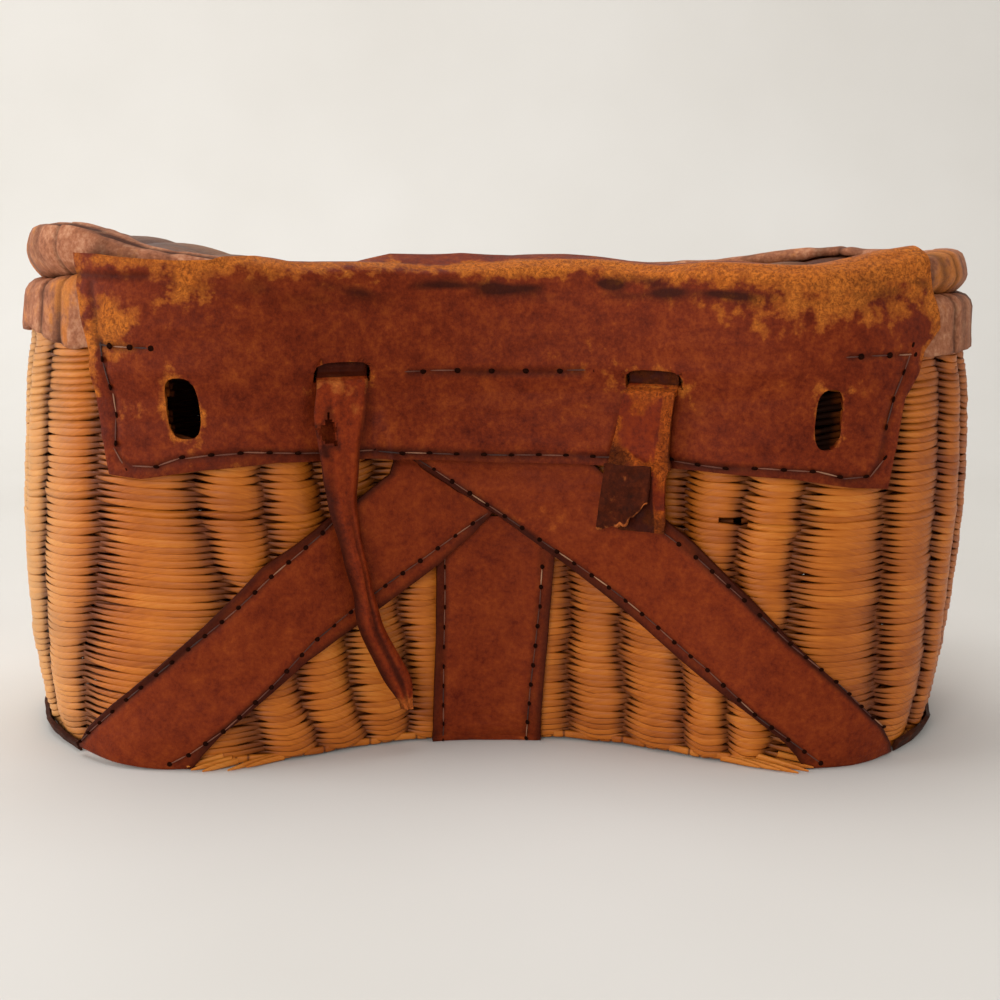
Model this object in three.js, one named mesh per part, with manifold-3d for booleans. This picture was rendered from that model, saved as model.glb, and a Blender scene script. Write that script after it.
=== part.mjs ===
// A kidney-shaped wicker fishing creel bound in leather, standing on its base with the lid closed.
// Millimetres, +Z up. The hollow back, with the hinge flap and the strap ends, faces -Y.
import * as THREE from "three";
import Module from "manifold-3d";

const wasm = await Module();
wasm.setup();
const { Manifold, Mesh: SolidMesh } = wasm;

// main sizes
const creelWidth = 354;
const creelDepth = 168;
const frontCrown = 14;
const backSag = 28;
const rimHeight = 162;

// material thicknesses and the clearance between two pieces
const wicker = 5;
const borderWicker = 3.7;
const floorWicker = 4.5;
const leather = 2.2;
const bandLeather = 1.6;
const gap = 0.35;

// ribs, bindings, openings and straps
const ribCount = 42;
const ribRelief = 1.3;
const bindingLump = 0.45;
const rimDrop = 20;
const rimInnerDrop = 17;
const rollReach = 14.4;
const lidDome = 3;
const flapHem = 13;
const strapWidth = 18.4;
const slotPlay = 1;
const slotHeight = 6.8;
const ovalHeight = 21;
const strapRoom = leather + 2 * gap;

// the outline in plan: a hollow back arc, two round ends and a shallow front arc, all tangent
const endRadius = (creelDepth - frontCrown) / 2;
const hornX = creelWidth / 2 - endRadius;
const hornY = -creelDepth / 2 + endRadius;
const backY = -creelDepth / 2 + backSag;
const frontY = creelDepth / 2;
const middleY = backSag / 7;
const backReach = hornY - backY;
const frontReach = frontY - hornY;
const backRadius = (hornX ** 2 + backReach ** 2 - endRadius ** 2) / (2 * (endRadius - backReach));
const frontRadius = (frontReach ** 2 + hornX ** 2 - endRadius ** 2) / (2 * (frontReach - endRadius));
const backCentre = new THREE.Vector2(0, backY - backRadius);
const frontCentre = new THREE.Vector2(0, frontY - frontRadius);
const endCentre = new THREE.Vector2(hornX, hornY);
const backEnd = endCentre.clone().sub(backCentre).angle();
const frontEnd = endCentre.clone().sub(frontCentre).angle();
const endStart = backCentre.clone().sub(endCentre).angle() - 2 * Math.PI;
const backLength = backRadius * (Math.PI / 2 - backEnd);
const endLength = endRadius * (frontEnd - endStart);
const frontLength = frontRadius * (Math.PI / 2 - frontEnd);
const half = backLength + endLength + frontLength;

// a point of the outline and its outward direction, by the distance along it from the back's middle
function outline(along) {
  const full = 2 * half;
  let s = ((along % full) + full) % full;
  let side = 1;
  if (s > half) {
    s = full - s;
    side = -1;
  }
  let centre = frontCentre;
  let radius = frontRadius;
  let angle = frontEnd + (s - backLength - endLength) / frontRadius;
  let facing = 1;
  if (s <= backLength) {
    centre = backCentre;
    radius = backRadius;
    angle = Math.PI / 2 - s / backRadius;
    facing = -1;
  } else if (s <= backLength + endLength) {
    centre = endCentre;
    radius = endRadius;
    angle = endStart + (s - backLength) / endRadius;
  }
  const c = Math.cos(angle);
  const d = Math.sin(angle);
  return {
    x: side * (centre.x + radius * c),
    y: centre.y + radius * d,
    nx: side * facing * c,
    ny: facing * d,
  };
}

// a table's column read at a place between its rows
function read(table, key, value, column) {
  const last = table.length - 1;
  if (value <= table[0][key]) return table[0][column];
  for (let i = 1; i <= last; i += 1) {
    if (value <= table[i][key]) {
      const low = table[i - 1];
      const high = table[i];
      const t = (value - low[key]) / (high[key] - low[key]);
      return low[column] + (high[column] - low[column]) * t;
    }
  }
  return table[last][column];
}

// the wall's section: height and how far out it stands as shares of rimHeight, and a share of ribRelief
const wallRows = [
  { height: 0, out: -0.0617, relief: 0.35 },
  { height: 0.01, out: -0.0485, relief: 0.5 },
  { height: 0.031, out: -0.0365, relief: 0.8 },
  { height: 0.075, out: -0.0245, relief: 1 },
  { height: 0.25, out: -0.0099, relief: 1 },
  { height: 0.5, out: 0, relief: 1 },
  { height: 0.68, out: -0.0034, relief: 1 },
  { height: 0.8, out: -0.0093, relief: 1 },
  { height: 0.87, out: -0.0164, relief: 0.7 },
  { height: 0.9, out: -0.0198, relief: 0.3 },
];

// rim and lid heights across the width, as shares of rimHeight, and how far down the binding's outer leg
// reaches, as a share of rimDrop; across runs from -1 to 1 over the width
const edgeRows = [
  { across: -1, rim: 1.034, roll: 1.151, drop: 1 },
  { across: -0.87, rim: 1.043, roll: 1.16, drop: 1 },
  { across: -0.735, rim: 1.042, roll: 1.148, drop: 1 },
  { across: -0.66, rim: 1.035, roll: 1.125, drop: 1 },
  { across: -0.55, rim: 1.006, roll: 1.098, drop: 0.75 },
  { across: -0.38, rim: 0.972, roll: 1.056, drop: 0.5 },
  { across: -0.25, rim: 0.975, roll: 1.06, drop: 0.5 },
  { across: -0.1, rim: 0.982, roll: 1.066, drop: 0.5 },
  { across: 0.12, rim: 0.985, roll: 1.071, drop: 0.5 },
  { across: 0.36, rim: 0.978, roll: 1.06, drop: 0.5 },
  { across: 0.55, rim: 0.978, roll: 1.06, drop: 0.6 },
  { across: 0.74, rim: 0.988, roll: 1.082, drop: 0.9 },
  { across: 0.85, rim: 1.003, roll: 1.095, drop: 1 },
  { across: 1, rim: 1.006, roll: 1.098, drop: 1 },
];
// the table read at x, evened out over a fortieth of the width to each side
function edge(x, column) {
  const at = (2 * x) / creelWidth;
  const aside = [-0.05, 0, 0, 0.05];
  return aside.reduce((sum, d) => sum + read(edgeRows, "across", at + d, column), 0) / aside.length;
}
const rimTop = (x) => rimHeight * edge(x, "rim");
const rollTop = (x) => rimHeight * edge(x, "roll");
const wallOut = (z) => rimHeight * read(wallRows, "height", z / rimHeight, "out");
const wallRelief = (z) => ribRelief * read(wallRows, "height", z / rimHeight, "relief");
const crest = (z) => wallOut(z) + wallRelief(z);

// stations round the outline: a rib and a valley by turns
const stations = [];
for (let i = 0; i < 2 * ribCount; i += 1) {
  stations.push({ along: (i * half) / ribCount, rib: i % 2 === 0 ? 1 : -1 });
}

// the right end leans in towards its foot: height as a share of rimHeight, pull as a share of half the width
const pullRows = [
  { height: 0, pull: 0.039 },
  { height: 0.05, pull: 0.034 },
  { height: 0.11, pull: 0.027 },
  { height: 0.2, pull: 0.0175 },
  { height: 0.29, pull: 0.0125 },
  { height: 0.38, pull: 0.008 },
  { height: 0.55, pull: 0.002 },
  { height: 0.62, pull: 0 },
];

// a point at a distance along the outline, standing out from it, at a height
function place(along, out, z) {
  const p = outline(along);
  const x = p.x + p.nx * out;
  const beyond = Math.max(0, ((2 * x) / creelWidth - 0.4) / 0.6);
  const pull = 0.5 * creelWidth * beyond * read(pullRows, "height", z / rimHeight, "pull");
  return [x - pull, p.y + p.ny * out, z];
}

// a closed mesh from a list of points and a list of faces with three or four corners
function solid(points, faces) {
  const positions = new Float32Array(points.flat());
  const index = [];
  for (const f of faces) {
    index.push(f[0], f[1], f[2]);
    if (f.length === 4) index.push(f[0], f[2], f[3]);
  }
  const geometry = new THREE.BufferGeometry();
  geometry.setAttribute("position", new THREE.BufferAttribute(positions, 3));
  geometry.setIndex(index);
  return facingOut(geometry);
}

// turns a closed mesh so that its faces look outwards
function facingOut(geometry) {
  const p = geometry.attributes.position;
  const index = geometry.index.array;
  const a = new THREE.Vector3();
  const b = new THREE.Vector3();
  const c = new THREE.Vector3();
  let volume = 0;
  for (let i = 0; i < index.length; i += 3) {
    a.fromBufferAttribute(p, index[i]);
    b.fromBufferAttribute(p, index[i + 1]);
    c.fromBufferAttribute(p, index[i + 2]);
    volume += a.dot(b.cross(c));
  }
  if (volume < 0) {
    for (let i = 0; i < index.length; i += 3) {
      [index[i + 1], index[i + 2]] = [index[i + 2], index[i + 1]];
    }
  }
  geometry.computeVertexNormals();
  return geometry;
}

// loops of points joined into a skin, with a fan or a ring at each end
function loft(loops, { firstTip = null, lastTip = null, ring = false } = {}) {
  const count = loops[0].length;
  const points = loops.flat();
  const faces = [];
  const steps = ring ? loops.length : loops.length - 1;
  for (let k = 0; k < steps; k += 1) {
    const low = k * count;
    const high = ((k + 1) % loops.length) * count;
    for (let i = 0; i < count; i += 1) {
      const j = (i + 1) % count;
      faces.push([low + i, low + j, high + j, high + i]);
    }
  }
  if (firstTip) {
    points.push(firstTip);
    for (let i = 0; i < count; i += 1) faces.push([(i + 1) % count, i, points.length - 1]);
  }
  if (lastTip) {
    const low = (loops.length - 1) * count;
    points.push(lastTip);
    for (let i = 0; i < count; i += 1) faces.push([low + i, low + ((i + 1) % count), points.length - 1]);
  }
  return solid(points, faces);
}

// a thick sheet: two matching grids of points joined round their edges
function sheet(outer, inner) {
  const rows = outer.length;
  const columns = outer[0].length;
  const points = [...outer.flat(), ...inner.flat()];
  const under = rows * columns;
  const faces = [];
  const at = (r, c) => r * columns + c;
  for (let r = 0; r + 1 < rows; r += 1) {
    for (let c = 0; c + 1 < columns; c += 1) {
      const q = [at(r, c), at(r, c + 1), at(r + 1, c + 1), at(r + 1, c)];
      faces.push(q, [q[3] + under, q[2] + under, q[1] + under, q[0] + under]);
    }
  }
  const rim = [];
  for (let c = 0; c < columns; c += 1) rim.push(at(0, c));
  for (let r = 1; r < rows; r += 1) rim.push(at(r, columns - 1));
  for (let c = columns - 2; c >= 0; c -= 1) rim.push(at(rows - 1, c));
  for (let r = rows - 2; r > 0; r -= 1) rim.push(at(r, 0));
  for (let i = 0; i < rim.length; i += 1) {
    const a = rim[i];
    const b = rim[(i + 1) % rim.length];
    faces.push([b, a, a + under, b + under]);
  }
  return solid(points, faces);
}

function toSolid(geometry) {
  const vertProperties = new Float32Array(geometry.attributes.position.array);
  const triVerts = new Uint32Array(geometry.index.array);
  return new Manifold(new SolidMesh({ numProp: 3, vertProperties, triVerts }));
}

// out in mm of the bindings' outer face and of the highest lumps on it
const topCrest = wallRows.at(-1).out * rimHeight + ribRelief * wallRows.at(-1).relief;
const bindingFace = topCrest + gap + 1.1 * leather;
const rimFace = bindingFace + bindingLump;

function cut(geometry, cutters) {
  let body = toSolid(geometry);
  for (const c of cutters) body = body.subtract(toSolid(c));
  const mesh = body.getMesh();
  const result = new THREE.BufferGeometry();
  result.setAttribute("position", new THREE.BufferAttribute(new Float32Array(mesh.vertProperties), 3));
  result.setIndex(Array.from(mesh.triVerts));
  result.computeVertexNormals();
  return result;
}

// the flap's oval holes: place along the back and lean as shares of half, height as a share of rimHeight,
// width and height as shares of ovalHeight
const ovals = [
  { along: -0.2431, height: 0.784, wide: 0.48, tall: 1, lean: -0.0036 },
  { along: 0.2554, height: 0.7562, wide: 0.38, tall: 1, lean: 0 },
];
// the flap's strap slots: place along the back as a share of half, height as a share of rimHeight
const slots = [
  { along: -0.126, height: 0.8457 },
  { along: 0.1249, height: 0.8383 },
];

function ovalCutter({ along, height, wide, tall, lean }) {
  const loops = [-3 * wicker, 4 * leather].map((out) => {
    const loop = [];
    for (let i = 0; i < 14; i += 1) {
      const a = (i * 2 * Math.PI) / 14;
      const up = Math.sin(a);
      const s = along * half + 0.5 * ovalHeight * wide * Math.cos(a) + lean * half * up;
      loop.push(place(s, out, height * rimHeight + 0.5 * ovalHeight * tall * up));
    }
    return loop;
  });
  const tip = (out) => place(along * half, out, height * rimHeight);
  return loft(loops, { firstTip: tip(-3 * wicker), lastTip: tip(4 * leather) });
}

function slotCutter({ along, height }) {
  const wide = strapWidth + 2 * slotPlay;
  const across = [-0.5, -0.25, 0, 0.25, 0.5];
  const up = [-0.5, 0.5];
  const grid = (out) =>
    up.map((u) => across.map((t) => place(along * half + wide * t, out, height * rimHeight + slotHeight * u)));
  return sheet(grid(5 * leather), grid(-leather));
}

// the wall's inner face: height as a share of rimHeight, wall thickness as a share of wicker
const innerRows = [
  { height: 0.82, thick: 1 },
  { height: 0.5, thick: 1 },
  { height: 0.1, thick: 1.2 },
];

// basket: ribbed outside, smooth inside, a flat base
function basketShape() {
  const top = (s) => rimTop(outline(s.along).x) - 1.15 * leather - gap;
  const face = wallRows.at(-1).out * rimHeight;
  const loops = [];
  for (const row of wallRows) {
    const z = row.height * rimHeight;
    const out = row.out * rimHeight;
    loops.push(stations.map((s) => place(s.along, out + s.rib * ribRelief * row.relief, z)));
  }
  loops.push(stations.map((s) => place(s.along, face + 0.3 * ribRelief * s.rib, top(s))));
  loops.push(stations.map((s) => place(s.along, face - borderWicker, top(s))));
  for (const row of innerRows) {
    const z = row.height * rimHeight;
    loops.push(stations.map((s) => place(s.along, wallOut(z) - wicker * row.thick, z)));
  }
  loops.push(stations.map((s) => place(s.along, wallOut(floorWicker) - 2 * wicker, floorWicker)));
  const shape = loft(loops, { firstTip: [0, middleY, 0], lastTip: [0, middleY, floorWicker] });
  return cut(shape, ovals.map(ovalCutter));
}

// rim binding: a leather channel over the wall's top, drawn in between the ribs
function rimBindingShape() {
  const hug = (z) => Math.max(crest(z), topCrest) + gap;
  const faceIn = wallRows.at(-1).out * rimHeight - borderWicker - gap;
  const section = [
    { out: (z) => hug(z) + 0.9 * leather, leg: 1, down: 0, lump: 0.6 },
    { out: (z) => hug(z) + 1.1 * leather, leg: 0.7, down: 0, lump: 1 },
    { out: () => bindingFace, leg: 0, down: 2.5 * leather, lump: 1 },
    { out: () => bindingFace - 0.5 * leather, leg: 0, down: 0.6 * leather, lump: 0.6 },
    { out: () => bindingFace - 1.8 * leather, leg: 0, down: 0, lump: 0 },
    { out: () => faceIn, leg: 0, down: 0.1 * leather, lump: 0 },
    { out: () => faceIn - leather, leg: 0, down: 1.2 * leather, lump: 0 },
    { out: () => faceIn - leather, leg: 0, down: rimInnerDrop, lump: 0 },
    { out: () => faceIn, leg: 0, down: rimInnerDrop, lump: 0 },
    { out: () => faceIn, leg: 0, down: 1.15 * leather, lump: 0 },
    { out: () => topCrest + gap, leg: 0, down: 1.15 * leather, lump: 0 },
    { out: (z) => hug(z), leg: 1, down: 0, lump: 0 },
  ];
  const loops = section.map(({ out, leg, down, lump }) =>
    stations.map((s) => {
      const x = outline(s.along).x;
      const z = rimTop(x) - down - leg * rimDrop * edge(x, "drop");
      return place(s.along, out(z) + bindingLump * lump * s.rib, z);
    }),
  );
  return loft(loops, { ring: true });
}

// lid binding: a leather roll round the lid's edge; rise runs from 0 at its foot to 1 at its top, and out
// and step are in thicknesses of leather
const rollSection = [
  { out: 0, rise: 0.42, step: 0, lump: 1 },
  { out: -0.4, rise: 1, step: -1.4, lump: 0.5 },
  { out: -1.6, rise: 1, step: -0.4, lump: 0 },
  { out: -3.3, rise: 1, step: 0, lump: 0 },
];
const rollUnder = [
  { out: -1.6, rise: 0, step: 0, lump: 0 },
  { out: -0.5, rise: 0, step: 0.55, lump: 0.5 },
];

function rollHeightAt(s, rise, step) {
  const x = outline(s.along).x;
  const foot = rimTop(x) + gap;
  return foot + (rollTop(x) - foot) * rise + step;
}

// a loop round the creel, out and rise as in the roll's section
function rollLoop(out, rise, step, lump = 0) {
  return stations.map((s) => place(s.along, out + bindingLump * lump * s.rib, rollHeightAt(s, rise, step)));
}

function lidBindingShape() {
  const row = (r) => rollLoop(bindingFace + r.out * leather, r.rise, r.step * leather, r.lump);
  const channel = bindingFace - 1.5 * leather;
  const loops = [
    ...rollSection.map(row),
    rollLoop(-rollReach + 0.6 * leather, 1, -0.2 * leather),
    rollLoop(-rollReach, 1, -1.15 * leather),
    rollLoop(channel, 1, -1.15 * leather),
    rollLoop(channel, 0, 1.1 * leather),
    rollLoop(-rollReach, 0, 1.05 * leather),
    rollLoop(-rollReach, 0, 0),
    ...rollUnder.map(row),
  ];
  return loft(loops, { ring: true });
}

// lid: a wicker board whose edge sits in the roll, a little domed in the middle
function lidShape() {
  const under = 1.1 * leather + gap;
  const over = -1.15 * leather - gap;
  const edge = bindingFace - 1.5 * leather - gap;
  const inward = (loop, height, lift) => loop.map(([x, y]) => [x / 2, y / 2 + 2, height(x / 2) + lift]);
  const lowAt = (x) => rimTop(x) + gap + under;
  const highAt = (x) => rollTop(x) + over;
  const low = rollLoop(-rollReach - leather, 0, under);
  const high = rollLoop(-rollReach - leather, 1, over);
  const loops = [
    inward(low, lowAt, lidDome / 3),
    low,
    rollLoop(edge, 0, under),
    rollLoop(edge, 1, over),
    high,
    inward(high, highAt, (2 * lidDome) / 3),
  ];
  return loft(loops, { firstTip: [0, middleY, lowAt(0) + lidDome / 2], lastTip: [0, middleY, highAt(0) + lidDome] });
}

// hinge flap's side edges: height as a share of rimHeight, place along the back as a share of half
const flapSides = [
  { height: 0.6111, left: -0.2944, right: 0.3011 },
  { height: 0.6481, left: -0.2989, right: 0.3033 },
  { height: 0.7963, left: -0.3078, right: 0.3145 },
  { height: 0.8951, left: -0.31, right: 0.3279 },
  { height: 0.9383, left: -0.3145, right: 0.3435 },
  { height: 1.0185, left: -0.3223, right: 0.339 },
  { height: 1.1111, left: -0.3301, right: 0.3368 },
];
// its lower edge: share of its width, height as a share of rimHeight
const flapFoot = [
  { share: 0, height: 0.642 },
  { share: 0.04, height: 0.6358 },
  { share: 0.11, height: 0.6543 },
  { share: 0.2, height: 0.6667 },
  { share: 0.36, height: 0.6605 },
  { share: 0.5, height: 0.6481 },
  { share: 0.76, height: 0.6481 },
  { share: 0.88, height: 0.6358 },
  { share: 0.95, height: 0.6173 },
  { share: 1, height: 0.6111 },
];
// how far it runs past the fold, in hems: less than nothing where it ends on the roll's face
const flapOver = [
  { share: 0, reach: -0.6 },
  { share: 0.06, reach: -0.5 },
  { share: 0.12, reach: -0.25 },
  { share: 0.16, reach: -0.05 },
  { share: 0.2, reach: 0.3 },
  { share: 0.26, reach: 0.8 },
  { share: 0.3, reach: 1 },
  { share: 0.75, reach: 1 },
  { share: 0.95, reach: 0.7 },
  { share: 1, reach: 0.4 },
];
// its inner face from the foot up to the rim: height as a share of rimHeight, stand-off in strap rooms
const flapRise = [
  { height: 0.8, room: 0.29 },
  { height: 0.827, room: 0.62 },
  { height: 0.855, room: 1.03 },
  { height: 0.92, room: 1.03 },
];

// the inner face's path at one place along the back
function flapPath(along, share) {
  const x = outline(along).x;
  const rim = rimTop(x);
  const roll = rollTop(x);
  const foot = rimHeight * read(flapFoot, "share", share, "height");
  const beside = Math.abs(along / half - 0.004) - 0.1;
  const overBands = 2.5 * (bandLeather + gap) * Math.max(0, 1 - Math.max(0, beside) / 0.012);
  const seat = (z, bands) => ({ out: crest(z) + 2 * gap + bands, z });
  return [
    seat(foot, overBands),
    seat(foot + 0.045 * rimHeight, overBands * 0.9),
    seat(foot + 0.11 * rimHeight, overBands * 0.12),
    ...flapRise.map((row) => ({ out: rimFace + row.room * strapRoom, z: row.height * rimHeight })),
    { out: rimFace + 0.8 * strapRoom, z: rim - 1.5 * leather },
    { out: rimFace + 0.5 * strapRoom, z: rim + 1.5 * leather },
    { out: rimFace + 1.3 * gap, z: roll - 1.7 * leather },
    { out: bindingFace + 1.3 * gap, z: roll - 0.9 * leather },
    { out: bindingFace - 1.5 * leather, z: roll + 0.7 * gap },
    { out: bindingFace - 3.4 * leather, z: roll + 1.5 * gap },
    { out: -2 * rollReach, z: roll + 1.5 * gap },
  ];
}

function flapShape() {
  const columns = 34;
  const outer = [];
  const inner = [];
  for (let c = 0; c <= columns; c += 1) {
    const share = c / columns;
    const level = (side) => read(flapSides, "height", 1.06, side);
    const middle = half * (level("left") * (1 - share) + level("right") * share);
    const path = flapPath(middle, share);
    let run = 0;
    path.forEach((p, k) => {
      if (k > 0) run += Math.hypot(p.out - path[k - 1].out, p.z - path[k - 1].z);
      p.run = run;
    });
    const end = path.at(-4).run + flapHem * read(flapOver, "share", share, "reach");
    const runs = path.slice(0, -5).map((p) => p.run);
    const start = runs.at(-1);
    for (let k = 1; k <= 4; k += 1) runs.push(start + ((end - start) * k) / 4);
    runs.forEach((at, r) => {
      const z = read(path, "run", at, "z");
      const out = read(path, "run", at, "out");
      const rise = read(path, "run", at + 0.8, "z") - read(path, "run", at - 0.8, "z");
      const lean = read(path, "run", at + 0.8, "out") - read(path, "run", at - 0.8, "out");
      const size = Math.hypot(rise, lean);
      const left = read(flapSides, "height", z / rimHeight, "left");
      const right = read(flapSides, "height", z / rimHeight, "right");
      const along = half * (left + (right - left) * share);
      outer[r] ??= [];
      inner[r] ??= [];
      inner[r].push(place(along, out, z));
      outer[r].push(place(along, out + (leather * rise) / size, z - (leather * lean) / size));
    });
  }
  return cut(sheet(outer, inner), [...ovals.map(ovalCutter), ...slots.map(slotCutter)]);
}

// a point standing off the ribs' crests, square to the wall's section
function offWall(along, z, lift) {
  const step = 0.6;
  const low = Math.max(0, z - step);
  const rise = z + step - low;
  const lean = crest(z + step) - crest(low);
  const size = Math.hypot(rise, lean);
  return place(along, crest(z) + (lift * rise) / size, z - (lift * lean) / size);
}

// sewn bands' two edges: places along the back as shares of half, heights as shares of rimHeight, and how
// many band leathers lie under them
const rightBandRows = [
  { step: 0, leftAlong: -0.0803, leftHeight: 0.679, rightAlong: 0.0625, rightHeight: 0.679, layer: 1.1 },
  { step: 1, leftAlong: -0.0625, leftHeight: 0.6389, rightAlong: 0.0825, rightHeight: 0.6358, layer: 1.3 },
  { step: 2, leftAlong: -0.0335, leftHeight: 0.5864, rightAlong: 0.0981, rightHeight: 0.6111, layer: 2.15 },
  { step: 3, leftAlong: 0, leftHeight: 0.5309, rightAlong: 0.1115, rightHeight: 0.5926, layer: 2.15 },
  { step: 4, leftAlong: 0.0424, leftHeight: 0.4506, rightAlong: 0.1294, rightHeight: 0.5586, layer: 1.7 },
  { step: 5, leftAlong: 0.0825, leftHeight: 0.3704, rightAlong: 0.1606, rightHeight: 0.4938, layer: 0.6 },
  { step: 6, leftAlong: 0.1227, leftHeight: 0.2901, rightAlong: 0.194, rightHeight: 0.4012, layer: 0.1 },
  { step: 7, leftAlong: 0.1628, leftHeight: 0.2099, rightAlong: 0.2364, rightHeight: 0.284, layer: 0.1 },
  { step: 8, leftAlong: 0.207, leftHeight: 0.1235, rightAlong: 0.283, rightHeight: 0.1728, layer: 0.15 },
  { step: 9, leftAlong: 0.235, leftHeight: 0.0679, rightAlong: 0.317, rightHeight: 0.0926, layer: 0.25 },
  { step: 10, leftAlong: 0.256, leftHeight: 0.0185, rightAlong: 0.344, rightHeight: 0.0247, layer: 0.3 },
];
const leftBandRows = [
  { step: 0, leftAlong: -0.0981, leftHeight: 0.679, rightAlong: 0.0134, rightHeight: 0.679, layer: 0.08 },
  { step: 1, leftAlong: -0.0848, leftHeight: 0.6543, rightAlong: 0.0134, rightHeight: 0.6111, layer: 0.2 },
  { step: 2, leftAlong: -0.0892, leftHeight: 0.6265, rightAlong: 0, rightHeight: 0.5494, layer: 1 },
  { step: 3, leftAlong: -0.1115, leftHeight: 0.5864, rightAlong: -0.0201, rightHeight: 0.4938, layer: 1.08 },
  { step: 4, leftAlong: -0.1383, leftHeight: 0.5432, rightAlong: -0.0491, rightHeight: 0.4259, layer: 1.08 },
  { step: 5, leftAlong: -0.165, leftHeight: 0.4938, rightAlong: -0.0803, rightHeight: 0.3642, layer: 0.5 },
  { step: 6, leftAlong: -0.1918, leftHeight: 0.4444, rightAlong: -0.1182, rightHeight: 0.2963, layer: 0.22 },
  { step: 7, leftAlong: -0.232, leftHeight: 0.3272, rightAlong: -0.1584, rightHeight: 0.2346, layer: 0.22 },
  { step: 8, leftAlong: -0.2676, leftHeight: 0.2284, rightAlong: -0.1963, rightHeight: 0.1481, layer: 0.25 },
  { step: 9, leftAlong: -0.3056, leftHeight: 0.142, rightAlong: -0.2253, rightHeight: 0.0802, layer: 0.45 },
  { step: 10, leftAlong: -0.3479, leftHeight: 0.037, rightAlong: -0.2498, rightHeight: 0.0185, layer: 0.6 },
];
const centreBandRows = [
  { step: 0, leftAlong: -0.0446, leftHeight: 0.53, rightAlong: 0.0446, rightHeight: 0.52, layer: 0.04 },
  { step: 1, leftAlong: -0.0502, leftHeight: 0.4506, rightAlong: 0.0457, rightHeight: 0.4506, layer: 0.04 },
  { step: 2, leftAlong: -0.0513, leftHeight: 0.2716, rightAlong: 0.0401, rightHeight: 0.2716, layer: 0.04 },
  { step: 3, leftAlong: -0.0535, leftHeight: 0.075, rightAlong: 0.0346, rightHeight: 0.075, layer: 0.1 },
  { step: 4, leftAlong: -0.0535, leftHeight: 0.031, rightAlong: 0.0335, rightHeight: 0.031, layer: 0.15 },
  { step: 5, leftAlong: -0.0535, leftHeight: 0.018, rightAlong: 0.0335, rightHeight: 0.018, layer: 0.15 },
];

function bandShape(rows, steps, across) {
  const last = rows.length - 1;
  const grid = (extra) => {
    const result = [];
    for (let k = 0; k <= steps; k += 1) {
      const step = (k * last) / steps;
      const from = [read(rows, "step", step, "leftAlong"), read(rows, "step", step, "leftHeight")];
      const to = [read(rows, "step", step, "rightAlong"), read(rows, "step", step, "rightHeight")];
      const lift = gap + (bandLeather + gap) * read(rows, "step", step, "layer") + extra;
      const line = [];
      for (let i = 0; i <= across; i += 1) {
        const t = i / across;
        const along = half * (from[0] + (to[0] - from[0]) * t);
        line.push(offWall(along, rimHeight * (from[1] + (to[1] - from[1]) * t), lift));
      }
      result.push(line);
    }
    return result;
  };
  return sheet(grid(bandLeather), grid(0));
}

// foot binding: a strip over the bottom edge, from one diagonal band's foot round the front to the other's
const footRows = [0.0173, 0.034, 0.0586];
const footFrom = 0.352;
const footTo = 1.6443;

function footBindingShape() {
  const count = 46;
  const grid = (lift) =>
    footRows.map((height) => {
      const line = [];
      for (let i = 0; i <= count; i += 1) {
        const along = half * (footFrom + ((footTo - footFrom) * i) / count);
        line.push(offWall(along, height * rimHeight, lift));
      }
      return line;
    });
  return sheet(grid(2.2 * gap + bandLeather), grid(2.2 * gap));
}

// torn strap ends, from the hidden end down: height as a share of rimHeight, place as a share of half, width
// and curl as shares of strapWidth, and stand-off of the mid-thickness in strap rooms
const leftStrapRows = [
  { height: 0.925, along: -0.126, wide: 0.97, room: 0.5, curl: 0 },
  { height: 0.8796, along: -0.126, wide: 0.97, room: 0.5, curl: 0 },
  { height: 0.8642, along: -0.126, wide: 0.97, room: 0.48, curl: 0 },
  { height: 0.8494, along: -0.126, wide: 0.97, room: 0.76, curl: 0 },
  { height: 0.837, along: -0.126, wide: 0.98, room: 1.7, curl: 0 },
  { height: 0.8185, along: -0.1258, wide: 1, room: 2.14, curl: 0.01 },
  { height: 0.7716, along: -0.1256, wide: 1, room: 2.2, curl: 0.02 },
  { height: 0.6852, along: -0.1267, wide: 0.86, room: 2.6, curl: 0.09 },
  { height: 0.6049, along: -0.1248, wide: 0.72, room: 2.3, curl: 0.24 },
  { height: 0.5185, along: -0.12, wide: 0.58, room: 2.2, curl: 0.34 },
  { height: 0.4321, along: -0.1151, wide: 0.53, room: 2.1, curl: 0.36 },
  { height: 0.3457, along: -0.11, wide: 0.52, room: 2, curl: 0.35 },
  { height: 0.2469, along: -0.096, wide: 0.55, room: 1.9, curl: 0.3 },
  { height: 0.1667, along: -0.0826, wide: 0.54, room: 1.8, curl: 0.24 },
  { height: 0.0988, along: -0.077, wide: 0.24, room: 1.75, curl: 0.06 },
];
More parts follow.
